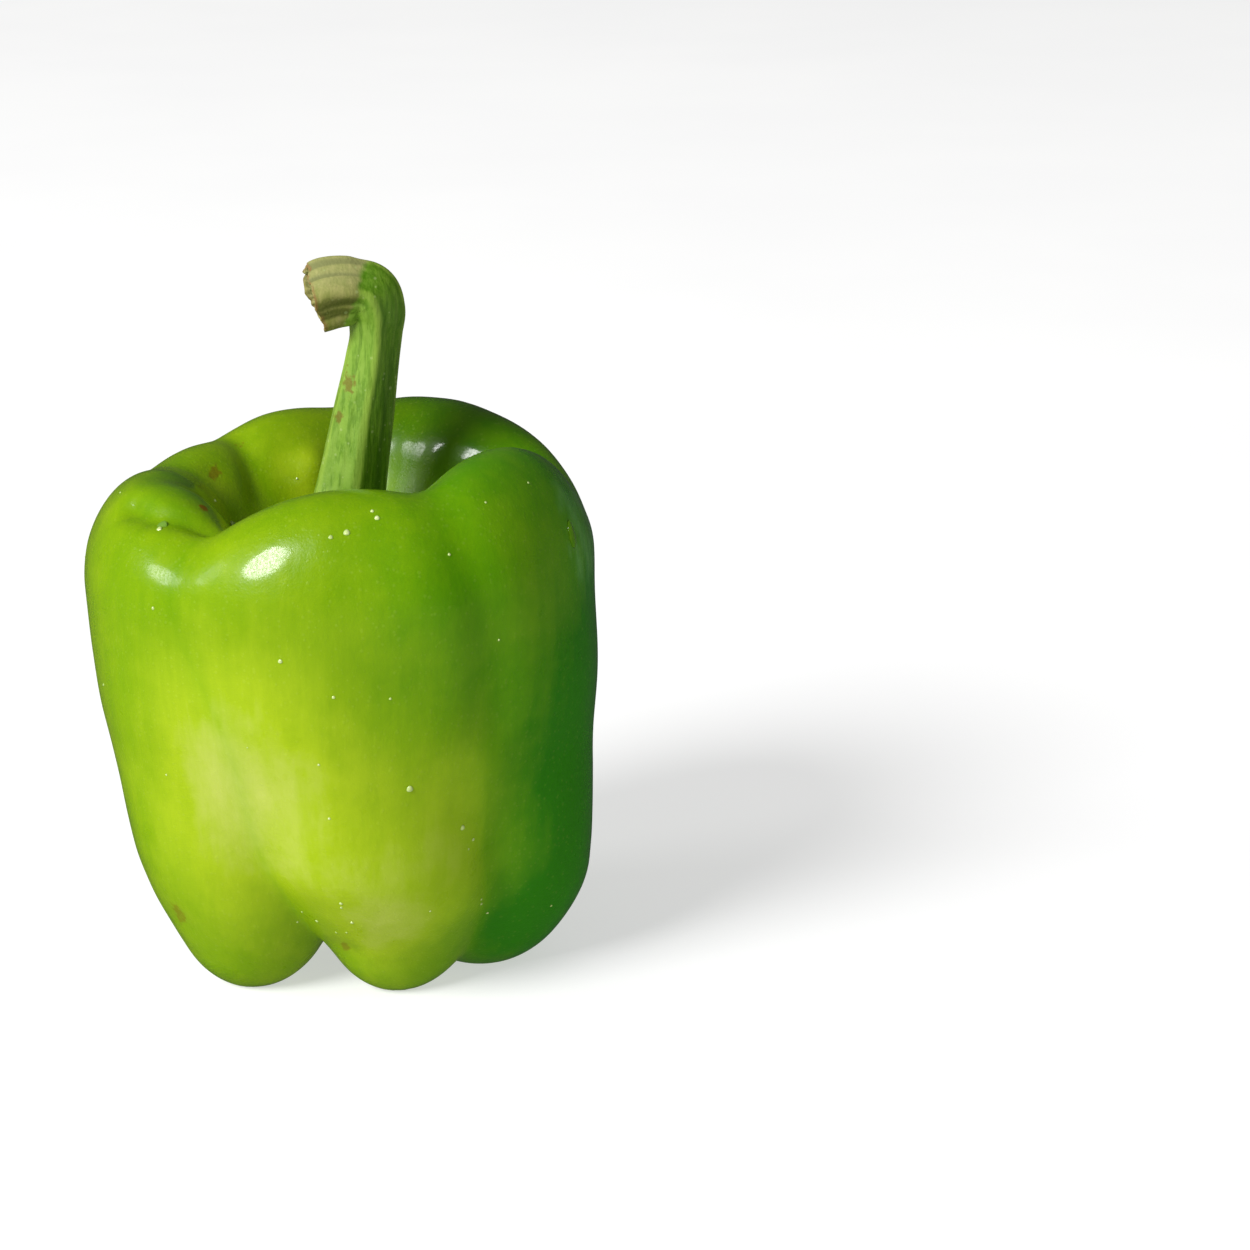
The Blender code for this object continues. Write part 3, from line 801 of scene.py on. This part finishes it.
calyxFinish = {
    "cloudSize": 3,
    "shadedHollows": ((0.018, 0.070, 0.008, 1), (0.045, 0.14, 0.012, 1)),  # the two colours of the clouds, dark as painted shade in the wrinkles
    # painted light on the raised wrinkles
    "litRidges": (0.085, 0.21, 0.022, 1),
    "ring": (0.15, 0.27, 0.03, 1),
    "ringShare": 0.6,
    "rim": (0.26, 0.36, 0.07, 1),
    "dots": (0.9, 0.36, 0.5),  # spacing, dot size in spacings, share
    "dotPaint": (0.20, 0.32, 0.07, 1),
    "dotShare": 0.3,
    "spot": ((-12, -3, 75.5), (4, 2, 3), 0.6, 0.9),  # centre, size, raggedness, grain
    "spotPaint": (0.14, 0.07, 0.015, 1),
    "spotShare": 0.6,
    "roughness": (0.36, 0.52),
    "veins": (1100.0, 0.6),  # scale and height
    "grain": (2200.0, 0.5),
    "reliefStrength": 0.5,
    "reliefDepth": 0.3,
    "constants": {"Coat Weight": 0.25, "Coat Roughness": 0.2},
}


def makeCalyxSkin():
    # dark green as painted shade in the wrinkles, lighter as painted light on the ridges, and lighter on the
    # ring and the rim
    finish = calyxFinish
    material, tree, shader = newMaterial("wrinkledCalyx", finish["constants"])
    where = position(tree)
    clouds = clouded(tree, where, finish["cloudSize"])
    colour = tint(tree, clouds, *finish["shadedHollows"])
    colour = tint(tree, remap(tree, attribute(tree, "raised"), -0.2, 1.1), colour, finish["litRidges"])
    colour = dab(tree, colour, finish["ring"], attribute(tree, "ring"), finish["ringShare"])
    rim = calc(tree, "MULTIPLY", remap(tree, attribute(tree, "edge"), 0.62, 0.97),
               remap(tree, clouds, 0, 1, 0.5, 1.0))
    colour = tint(tree, rim, colour, finish["rim"])
    colour = dab(tree, colour, finish["dotPaint"], dotted(tree, where, *finish["dots"]), finish["dotShare"])
    spot = blotch(tree, where, *finish["spot"])
    colour = dab(tree, colour, finish["spotPaint"], spot, finish["spotShare"])
    tree.links.new(colour, shader.inputs["Base Color"])
    tree.links.new(remap(tree, clouds, 0, 1, *finish["roughness"]), shader.inputs["Roughness"])
    (veinScale, veinHeight), (grainScale, grainHeight) = finish["veins"], finish["grain"]
    cells = put(tree, "ShaderNodeTexVoronoi", {"Vector": where, "Scale": veinScale},
                feature="DISTANCE_TO_EDGE")
    veins = remap(tree, cells.outputs["Distance"], 0, 0.12)
    height = calc(tree, "ADD", calc(tree, "MULTIPLY", veins, veinHeight),
                  calc(tree, "MULTIPLY", noise(tree, where, grainScale, 3.0), grainHeight))
    setRelief(tree, shader, height, finish["reliefStrength"], finish["reliefDepth"])
    return material


calyxObject = makeCalyx()
calyxObject.data.materials.append(makeCalyxSkin())
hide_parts("calyx")
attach(calyxObject, "root")
print("calyx made:", len(calyxObject.data.polygons), "faces")


stem = {
    # the middle line from root to cut end, with the radius there: x, y, z, radius in mm
    "path": (
        (0.5, 0, 76.9, 5.9), (0.9, 0, 79, 5.7), (2, 0, 84.5, 5.25), (3.8, 0.2, 94.4, 4.75),
        (5.4, 0.3, 103, 4.25), (6.0, 0.1, 107.6, 4.15), (5.9, -0.1, 111, 4.65), (4.7, -0.4, 113.6, 5.05),
        (1.6, -0.9, 114.3, 5.25), (-1.4, -1.3, 114.1, 5.15), (-3.6, -1.6, 113.4, 4.9)),
    "ribs": 5,
    "ribTurn": 98,  # the angle round the stem of one rib; 0 is left and 90 is the front
    "ribTwist": (0.35, 16),  # how far the ribs sway, and over what length
    "ribHeight": 0.080,  # as a part of the radius, as are flare, waist and rootPinch
    "ribSharpness": 0.28,
    "striation": 0.040,
    "lumps": 0.09,
    # ripples: width of the cylinder they are read on, length along it that counts as 1, wavelength, seed
    "grooveRipple": (4, 26, 1.1, 21),
    "lumpRipple": (1.4, 9, 1.7, 22),
    "tearRipples": ((3, 1, 1.4, 31), (9, 1, 1.2, 32)),
    "collar": 7.0,  # length of the pale end
    "flare": 0.10,
    "waist": 0.05,
    "rootPinch": 0.06,
    "rimTear": 0.22,
    "tearReach": 5,
    "cutBulge": 0.7,
    "cutSlant": 0.75,
    "cutDepth": 1.9,
    "cutMiddle": 0.9,
    "fibres": ((0.9, 41, 0.22), (2.6, 42, 0.4)),  # wavelength, seed and height
    "litTurn": 35,  # the angle round the stem that faces the lamps and gets the painted light, as for ribTurn
    "stepsRound": 192,
    "steps": 300,
    "cutSteps": 34,
}


def curveThrough(knots, count):
    # the smooth curve through the knots: cubic pieces whose slope at a knot comes from its two neighbours,
    # read at even steps of length
    knots = np.array(knots, float) * mm
    at = np.concatenate([[0], np.cumsum(np.linalg.norm(np.diff(knots[:, :3], axis=0), axis=1))])
    slope = np.gradient(knots, at, axis=0, edge_order=1)
    fine = np.linspace(0, at[-1], 2000)
    i = np.clip(np.searchsorted(at, fine) - 1, 0, len(at) - 2)
    gap = (at[i + 1] - at[i])[:, None]
    t = ((fine - at[i]) / (at[i + 1] - at[i]))[:, None]
    curve = (knots[i] * (2 * t**3 - 3 * t**2 + 1) + knots[i + 1] * (3 * t**2 - 2 * t**3)
             + gap * (slope[i] * (t**3 - 2 * t**2 + t) + slope[i + 1] * (t**3 - t**2)))
    length = np.concatenate([[0], np.cumsum(np.linalg.norm(np.diff(curve[:, :3], axis=0), axis=1))])
    even = np.linspace(0, length[-1], count)
    return np.stack([np.interp(even, length, column) for column in curve.T], axis=1), even


def stemRipple(turn, along, settings):
    # a ripple read on a cylinder, so that it closes up round the stem
    width, length, wavelength, seed = settings
    spots = np.stack([width * np.cos(turn), width * np.sin(turn), along / (length * mm)], axis=-1)
    return ripple(spots, wavelength, seed)


def stemRadius(turn, toCut, radius):
    # the radius along the path, swollen by ribs, fine grooves and lumps, and wider at the collar
    sway, swayLength = stem["ribTwist"]
    ribAngle = stem["ribs"] * (turn - math.radians(stem["ribTurn"]))
    ribAngle = ribAngle + sway * np.sin(toCut / (swayLength * mm))
    ribs = np.cos(ribAngle) + stem["ribSharpness"] * np.cos(2 * ribAngle)
    grooves = stemRipple(turn, toCut, stem["grooveRipple"])
    lumps = stemRipple(turn, toCut, stem["lumpRipple"])
    collar = smoothStep(stem["collar"] + 1.5, stem["collar"] - 2, toCut / mm)
    flare = stem["flare"] * smoothStep(stem["collar"], 0, toCut / mm) ** 1.4
    waist = stem["waist"] * np.exp(-(((toCut / mm - stem["collar"]) / 1.1) ** 2))
    rootPinch = stem["rootPinch"] * np.exp(-(((toCut[0, 0] - toCut) / (1.2 * mm)) ** 2))
    ribbed = stem["ribHeight"] * ribs * (0.75 + 0.25 * collar)
    size = radius[:, None] * (1 + ribbed + flare - waist - rootPinch)
    size = size + mm * (stem["striation"] * grooves * (1 + 1.6 * collar) + stem["lumps"] * lumps)
    return size, ribs, grooves


def cutTear(around, height):
    # how far each place on the rim stands out: torn unevenly, furthest half way down and least at the top
    rough, fine = (stemRipple(around, 0 * around, settings) for settings in stem["tearRipples"])
    slant = stem["cutBulge"] * (1 - height**2) - stem["cutSlant"] * np.clip(height, 0, 1) ** 1.5
    return mm * (stem["rimTear"] * (rough + 0.3 * fine) + slant)


def makeStem():
    # a five-ribbed profile carried along the curve; the cut end is torn, and dished towards its middle
    line, length = curveThrough(stem["path"], stem["steps"])
    middle, radius = line[:, :3], line[:, 3]
    tangent = np.gradient(middle, axis=0)
    tangent /= np.linalg.norm(tangent, axis=1)[:, None]
    side = np.cross(tangent, [0, 1, 0])
    side /= np.linalg.norm(side, axis=1)[:, None]
    front = np.cross(tangent, side)
    around = np.linspace(0, 2 * np.pi, stem["stepsRound"], endpoint=False)
    left = length[-1] - length  # distance still to go to the cut
    turn, reach = np.meshgrid(around, left)
    size, ribs, grooves = stemRadius(turn, reach, radius)
    outwards = np.cos(turn)[:, :, None] * side[:, None, :] + np.sin(turn)[:, :, None] * front[:, None, :]
    offset = size[:, :, None] * outwards
    tear = cutTear(around, offset[-1, :, 2] / np.abs(offset[-1, :, 2]).max())
    pull = smoothStep(stem["tearReach"], 0, left / mm)[:, None] * tear[None, :]
    points = middle[:, None, :] + offset + pull[:, :, None] * tangent[:, None, :]
    # the cut face: rings shrinking to the middle, sunk behind the rim, with fibres standing up
    inward = np.linspace(1, 0, stem["cutSteps"] + 2)[1:-1]
    shrink = inward[:, None] * np.ones(len(around))[None, :]
    spot = offset[-1][None] * shrink[:, :, None]
    fibres = sum(rise * ripple(spot, wave * mm, seed) for wave, seed, rise in stem["fibres"])
    sink = fibres * smoothStep(1.0, 0.8, shrink) - stem["cutDepth"] * smoothStep(0.96, 0.62, shrink)
    sink = mm * (sink + stem["cutMiddle"] * smoothStep(0.35, 0.05, shrink))
    sink = sink + tear[None, :] * smoothStep(0.4, 1, shrink)
    cut = middle[-1] + spot + sink[:, :, None] * tangent[-1]
    # facing is 1 on the side turned to the lamps, painted lighter, and -1 on the far side, painted in shade
    litTurn = math.radians(stem["litTurn"])
    values = {
        "toCut": np.concatenate([reach, -(1 - shrink) * 5 * mm]) / mm,
        "rib": np.concatenate([ribs, 0 * shrink]),
        "groove": np.concatenate([grooves, fibres * 2]),
        "facing": np.concatenate([np.cos(turn - litTurn), np.cos(around - litTurn) * shrink])}
    root = middle[0] - tangent[0] * 0.2 * mm
    return ringMesh("stem_detailed", np.concatenate([points, cut]), root,
                    middle[-1] + tangent[-1] * sink[-1].mean(), values)


stemFinish = {
    "cloudSize": 5,
    "streakSize": 0.9,
    "streakStretch": (1, 1, 0.10),
    # painted light and shade: paler on the side turned to the lamps, deep green on its other side: the two
    # colours of the clouds
    "deep": ((0.045, 0.135, 0.001, 1), (0.080, 0.185, 0.003, 1)),
    "litSide": ((0.130, 0.250, 0.018, 1), (0.190, 0.320, 0.040, 1)),
    "litSideFrom": (0.30, 0.90),
    # painted light: the rib crests are paler
    "litRidge": (0.24, 0.36, 0.045, 1),
    "litRidgeShare": 0.6,
    "paleStreak": (0.20, 0.32, 0.040, 1),
    "paleStreakShare": 0.35,
    "darkStreak": (0.055, 0.14, 0.003, 1),
    "darkStreakShare": 0.45,
    # painted shade: darker in the fine grooves
    "groove": (0.03, 0.09, 0.004, 1),
    "grooveShadeShare": 0.35,
    # the pale end starts this far from the cut, on average, and further where it is higher
    "paleStart": 5.9,
    "paleHeights": (109, 119),
    "paleSlant": (-1.4, 1.6),
    "pale": ((0.245, 0.240, 0.066, 1), (0.165, 0.185, 0.032, 1)),
    # painted shade in the grooves of the pale end
    "paleGrooveShade": (0.075, 0.090, 0.012, 1),
    "paleGrooveShadeShare": 0.95,
    "paleTop": (0.42, 0.42, 0.20, 1),
    "paleTopHeights": (113, 118),
    "paleTopShare": 0.28,
    "torn": (0.20, 0.11, 0.035, 1),
    "pith": ((0.09, 0.095, 0.02, 1), (0.30, 0.29, 0.10, 1)),
    "pithSize": 1.1,
    # brown marks: centre and size
    "marks": (
        ((1.4, -3.4, 99.9), (1.3, 2.0, 2.4)), ((-0.4, -3.4, 94.2), (1.0, 1.8, 1.2)),
        ((7.5, 2.5, 98), (1.6, 1.6, 5)), ((2.5, 4.9, 90), (2, 1.5, 3))),
    "markPaint": (0.13, 0.085, 0.006, 1),
    "markRagged": (0.55, 0.9),
    "markShare": 0.7,
    "dots": (1.0, 0.3, 0.35),  # spacing, dot size in spacings, share
    "dotPaint": (0.36, 0.44, 0.17, 1),
    "dotShare": 0.35,
    "roughness": (0.42, 0.75),  # of the green part and of the pale end
    "grain": (2400.0, 0.7),  # scale and height
    "pimples": (1500.0, 0.4),
    "reliefStrength": 0.5,
    "reliefDepth": 0.3,
    "constants": {"Coat Weight": 0.12, "Coat Roughness": 0.3, "Specular IOR Level": 0.15},
}


def stemGreen(tree, clouds, streaks, groove):
    # painted shade or painted light by the side it is on, with pale ridges as painted light, streaks, and
    # dark grooves as painted shade
    finish = stemFinish
    deep, litSide = tint(tree, clouds, *finish["deep"]), tint(tree, clouds, *finish["litSide"])
    colour = tint(tree, remap(tree, attribute(tree, "facing"), *finish["litSideFrom"]), deep, litSide)
    litRidge = remap(tree, attribute(tree, "rib"), 0.5, 1.25, 0, finish["litRidgeShare"])
    colour = tint(tree, litRidge, colour, finish["litRidge"])
    colour = dab(tree, colour, finish["paleStreak"], streaks, finish["paleStreakShare"])
    dark = remap(tree, streaks, 0.05, 0.45, finish["darkStreakShare"], 0.0)
    colour = tint(tree, dark, colour, finish["darkStreak"])
    # painted shade in the fine grooves
    low = remap(tree, groove, -1.6, -0.3, finish["grooveShadeShare"], 0.0)
    return tint(tree, low, colour, finish["groove"])


def stemPale(tree, streaks, groove, height):
    # the dry end: two straw colours in streaks, dark as painted shade in the grooves and whiter on top
    finish = stemFinish
    colour = tint(tree, streaks, *finish["pale"])
    low = remap(tree, groove, -1.1, 0.5, finish["paleGrooveShadeShare"], 0)
    colour = tint(tree, low, colour, finish["paleGrooveShade"])
    top = remap(tree, height, *inMetres(finish["paleTopHeights"]), 0, finish["paleTopShare"])
    return tint(tree, top, colour, finish["paleTop"])


def makeStemSkin():
    # green along the stem, then the pale end, the torn rim, the pith inside it, the marks and the dots
    finish = stemFinish
    material, tree, shader = newMaterial("ribbedStem", finish["constants"])
    where = position(tree)
    toCut, groove = attribute(tree, "toCut"), attribute(tree, "groove")
    clouds = clouded(tree, where, finish["cloudSize"])
    lengthways = stretch(tree, where, finish["streakStretch"])
    streaks = clouded(tree, lengthways, finish["streakSize"])
    height = put(tree, "ShaderNodeSeparateXYZ", {"Vector": where}).outputs["Z"]
    # the pale end has a slanting, uneven start
    slant = remap(tree, height, *inMetres(finish["paleHeights"]), *finish["paleSlant"], smooth=False)
    start = calc(tree, "ADD", finish["paleStart"], slant)
    start = calc(tree, "ADD", start, remap(tree, clouds, 0, 1, -0.4, 0.4))
    pale = remap(tree, calc(tree, "SUBTRACT", start, toCut), -0.5, 0.5)
    green = stemGreen(tree, clouds, streaks, groove)
    colour = tint(tree, pale, green, stemPale(tree, streaks, groove, height))
    atRim = remap(tree, toCut, 0.0, 0.75, 1.0, 0.0)
    torn = calc(tree, "MULTIPLY", atRim, remap(tree, streaks, 0.2, 0.8, 0.25, 0.9))
    colour = tint(tree, torn, colour, finish["torn"])
    inside = remap(tree, toCut, -0.1, -0.8, 0, 1)
    pith = tint(tree, clouded(tree, where, finish["pithSize"]), *finish["pith"])
    colour = tint(tree, inside, colour, pith)
    marked = 0.0
    for centre, size in finish["marks"]:
        marked = calc(tree, "MAXIMUM", marked, blotch(tree, where, centre, size, *finish["markRagged"]))
    colour = dab(tree, colour, finish["markPaint"], marked, finish["markShare"])
    colour = dab(tree, colour, finish["dotPaint"], dotted(tree, where, *finish["dots"]), finish["dotShare"])
    tree.links.new(colour, shader.inputs["Base Color"])
    rough = remap(tree, calc(tree, "MAXIMUM", pale, inside), 0, 1, *finish["roughness"])
    tree.links.new(rough, shader.inputs["Roughness"])
    (grainScale, grainHeight), (pimpleScale, pimpleHeight) = finish["grain"], finish["pimples"]
    relief = calc(tree, "ADD", calc(tree, "MULTIPLY", noise(tree, lengthways, grainScale, 3.0), grainHeight),
                  calc(tree, "MULTIPLY", noise(tree, where, pimpleScale, 2.0), pimpleHeight))
    setRelief(tree, shader, relief, finish["reliefStrength"], finish["reliefDepth"])
    return material


stemObject = makeStem()
stemObject.data.materials.append(makeStemSkin())
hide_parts("stem")
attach(stemObject, "root")
print("stem made:", len(stemObject.data.polygons), "faces")


drops = {
    # x, y, z on the skin, half width, length over width, height over half width
    "placed": (
        (36.4, -17.2, 77.7, 1.2, 2.0, 0.3), (5.4, -35.7, 85.7, 0.42, 1, 0.6), (0.5, -37.1, 84, 0.5, 1, 0.6),
        (-1.8, -37.6, 83, 0.36, 1, 0.6), (9.8, -37.9, 42.6, 0.55, 1, 0.6), (17.9, -31, 33.3, 0.45, 1, 0.6),
        (-28.5, -21, 81.2, 0.45, 1.1, 0.6), (-28.3, -20, 81.7, 0.9, 1.2, 0.2), (-10, -40, 64.3, 0.36, 1, 0.6),
        (-31, -30, 70, 0.3, 1, 0.6)),
    "scattered": 60,
    "scatterSeed": 4,
    "scatterAbove": 12,
    "flattest": 0.9,  # none where the skin's normal rises or falls by more than this
    "scatterSize": (0.14, 0.30),
    "scatterHeight": 0.6,
    "sunk": 0.35,  # the part of a bead's height that is under the skin
    "fullness": 0.25,  # how much wider a bead is at its lower end
    "largeFrom": (0.6, 1.0),  # half widths between which a bead takes the large colour
    "rows": 5,
    "steps": 10,
}


def makeDrops():
    # each drop is a low dome on the skin: its rings follow a quarter of an ellipse, longer downhill
    skin, normal = fruitPoints.reshape(-1, 3), fruitNormals.reshape(-1, 3)
    rng = np.random.default_rng(drops["scatterSeed"])
    placed = np.array(drops["placed"], float)
    highEnough = skin[:, 2] > drops["scatterAbove"] * mm
    sides = np.flatnonzero(highEnough & (np.abs(normal[:, 2]) < drops["flattest"]))
    chosen = rng.choice(sides, drops["scattered"], replace=False)
    near = [int(np.argmin(((skin - row[:3] * mm) ** 2).sum(axis=1))) for row in placed]
    index = np.concatenate([near, chosen])
    half = np.concatenate([placed[:, 3], rng.uniform(*drops["scatterSize"], len(chosen))]) * mm
    longer = np.concatenate([placed[:, 4], np.ones(len(chosen))])
    height = half * np.concatenate([placed[:, 5], np.full(len(chosen), drops["scatterHeight"])])
    centre, up = skin[index], normal[index]
    downhill = np.array([0, 0, -1.0]) - up * (-up[:, 2:3])
    downhill /= np.linalg.norm(downhill, axis=1)[:, None] + 1e-9
    across = np.cross(up, downhill)
    turn = np.linspace(0, 2 * np.pi, drops["steps"], endpoint=False)
    rise = np.linspace(-drops["sunk"], np.pi / 2, drops["rows"] + 1)[:-1]
    wide = np.sin(turn) * (1 + drops["fullness"] * np.cos(turn))
    # arrays below run over the drops, the rings of a drop, the steps round a ring, and xyz
    lengthways = np.cos(turn)[None, None, :, None] * (longer[:, None] * downhill)[:, None, None, :]
    sideways = wide[None, None, :, None] * across[:, None, None, :]
    ring = (np.cos(rise)[None, :, None, None] * half[:, None, None, None]) * (lengthways + sideways)
    lift = np.sin(rise)[None, :, None, None] * (height[:, None] * up)[:, None, None, :]
    dome = centre[:, None, None, :] + ring + lift
    tops = centre + up * height[:, None]
    bases = centre - up * (height * drops["sunk"])[:, None]
    count, rows, steps = dome.shape[:3]
    points = np.concatenate([dome.reshape(-1, 3), tops, bases])
    grid = np.arange(count * rows * steps).reshape(count, rows, steps)
    after = np.roll(grid, -1, axis=2)
    quads = np.stack([grid[:, :-1], after[:, :-1], after[:, 1:], grid[:, 1:]], axis=-1).reshape(-1, 4)
    topIndex = np.repeat(count * rows * steps + np.arange(count), steps).reshape(count, steps)
    lowIndex = topIndex + count
    caps = np.concatenate([np.stack([grid[:, -1], after[:, -1], topIndex], -1).reshape(-1, 3),
                           np.stack([after[:, 0], grid[:, 0], lowIndex], -1).reshape(-1, 3)])
    faces = quads.tolist() + caps.tolist()
    first = points[quads[0]]
    facing = np.cross(first[1] - first[0], first[3] - first[0])
    if np.dot(facing, first.mean(axis=0) - (centre[0] - up[0] * half[0])) < 0:
        faces = [face[::-1] for face in faces]
    mesh = bpy.data.meshes.new("water_drops")
    mesh.from_pydata(points.tolist(), [], faces)
    mesh.validate()
    size = smoothStep(*drops["largeFrom"], half / mm)
    large = np.concatenate([np.repeat(size, rows * steps), size, size])
    mesh.attributes.new("large", "FLOAT", "POINT").data.foreach_set("value", large.astype(np.float32))
    mesh.shade_smooth()
    obj = bpy.data.objects.new("water_drops", mesh)
    bpy.context.scene.collection.objects.link(obj)
    return obj


dropsFinish = {
    # a bead takes the colour of the skin under it, paler where it is small, as a painted glint: the two
    # colours of the haze
    "hazeSize": 6,
    "smallGlint": ((0.34, 0.46, 0.13, 1), (0.52, 0.62, 0.26, 1)),
    "large": ((0.060, 0.19, 0.002, 1), (0.11, 0.25, 0.004, 1)),
    "roughness": (0.04, 0.10),
    "constants": {"IOR": 1.33, "Coat Weight": 1.0, "Coat Roughness": 0.03},
}


def makeWater():
    # the bead's colour under a smooth, clear coat
    finish = dropsFinish
    material, tree, shader = newMaterial("clearWater", finish["constants"])
    haze = clouded(tree, position(tree), finish["hazeSize"])
    # a small bead's pale colour is a painted glint
    smallGlint, large = tint(tree, haze, *finish["smallGlint"]), tint(tree, haze, *finish["large"])
    tree.links.new(tint(tree, attribute(tree, "large"), smallGlint, large), shader.inputs["Base Color"])
    tree.links.new(remap(tree, haze, 0, 1, *finish["roughness"]), shader.inputs["Roughness"])
    return material


dropsObject = makeDrops()
dropsObject.data.materials.append(makeWater())
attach(dropsObject, "root")
print("drops made:", len(dropsObject.data.polygons), "faces")


studio = {
    "floorHalf": 4.0,  # the floor and the lamps are in metres
    "floorColours": ((0.50, 0.50, 0.50, 1), (0.53, 0.53, 0.525, 1)),
    "floorCloudSize": 400,
    # the emission lifts the table to an even white
    "floorConstants": {
        "Emission Color": (1, 1, 1, 1), "Emission Strength": 0.52,
        "Roughness": 0.85, "Specular IOR Level": 0.15},
    "world": 0.31,
    "worldGloss": 0.05,  # how bright the room looks in reflections
    "key": {"towards": (-0.60, -0.58, 0.55), "distance": 4.0, "size": 1.7, "power": 216},
    "fill": {"towards": (-0.90, -0.12, 0.42), "distance": 4.0, "size": 1.2, "power": 42},
    "lens": 100.0,
    "sensor": 36.0,
    "elevation": 16.5,
    "clipStart": 10,
    "viewWidth": 206.953642,  # what the camera takes in from side to side at the pepper's axis
    "aside": 46.357616,  # how far left of the middle the pepper stands
    "targetHeight": 57.1,
}


def makeFloor():
    half = studio["floorHalf"]
    mesh = bpy.data.meshes.new("floor")
    corners = [(-half, -half, 0), (half, -half, 0), (half, half, 0), (-half, half, 0)]
    mesh.from_pydata(corners, [], [(0, 1, 2, 3)])
    floor = bpy.data.objects.new("floor", mesh)
    bpy.context.scene.collection.objects.link(floor)
    material, tree, shader = newMaterial("paleTable", studio["floorConstants"])
    clouds = clouded(tree, position(tree), studio["floorCloudSize"])
    tree.links.new(tint(tree, clouds, *studio["floorColours"]), shader.inputs["Base Color"])
    mesh.materials.append(material)
    floor.visible_glossy = False  # lights the pepper, but lays no veil of reflection over its colour


def makeLamp(name, settings, target):
    # a round soft lamp that looks at the target from the direction and the distance given
    lamp = bpy.data.lights.new(name, "AREA")
    lamp.shape, lamp.size, lamp.energy = "DISK", settings["size"], settings["power"]
    lampObject = bpy.data.objects.new(name, lamp)
    bpy.context.scene.collection.objects.link(lampObject)
    towards = Vector(settings["towards"]).normalized()
    lampObject.location = target + towards * settings["distance"]
    lampObject.rotation_mode = "QUATERNION"
    lampObject.rotation_quaternion = (-towards).to_track_quat("-Z", "Y")


def makeCamera():
    # stands back far enough to take in the view's width, looks down by the elevation, and is turned aside
    camera = bpy.data.cameras.new("camera")
    camera.lens, camera.sensor_width = studio["lens"], studio["sensor"]
    camera.clip_start = studio["clipStart"] * mm
    distance = studio["lens"] / studio["sensor"] * studio["viewWidth"] * mm
    angle = math.radians(studio["elevation"])
    back = Vector((0, -math.cos(angle), math.sin(angle)))
    aim = -back + Vector((1, 0, 0)) * (studio["aside"] * mm / distance)
    cameraObject = bpy.data.objects.new("camera", camera)
    bpy.context.scene.collection.objects.link(cameraObject)
    cameraObject.location = Vector((0, 0, studio["targetHeight"] * mm)) + back * distance
    cameraObject.rotation_mode = "QUATERNION"
    cameraObject.rotation_quaternion = aim.normalized().to_track_quat("-Z", "Y")
    bpy.context.scene.camera = cameraObject


def makeWorld():
    # an even white room, dimmer where it is seen as a reflection
    world = bpy.data.worlds.new("studioRoom")
    bpy.context.scene.world = world
    world.use_nodes = True
    tree = world.node_tree
    background = tree.nodes["Background"]
    background.inputs["Color"].default_value = (1, 1, 1, 1)
    glossy = put(tree, "ShaderNodeLightPath").outputs["Is Glossy Ray"]
    strength = remap(tree, glossy, 0, 1, studio["world"], studio["worldGloss"], smooth=False)
    tree.links.new(strength, background.inputs["Strength"])


makeFloor()
middle = Vector((0, 0, (cadBox[0][2] + cadBox[1][2]) / 2))
makeLamp("keySoftbox", studio["key"], middle)
makeLamp("fillPanel", studio["fill"], middle)
makeCamera()
makeWorld()
bpy.context.scene.view_settings.view_transform = "Standard"
print("floor, lights and camera made")
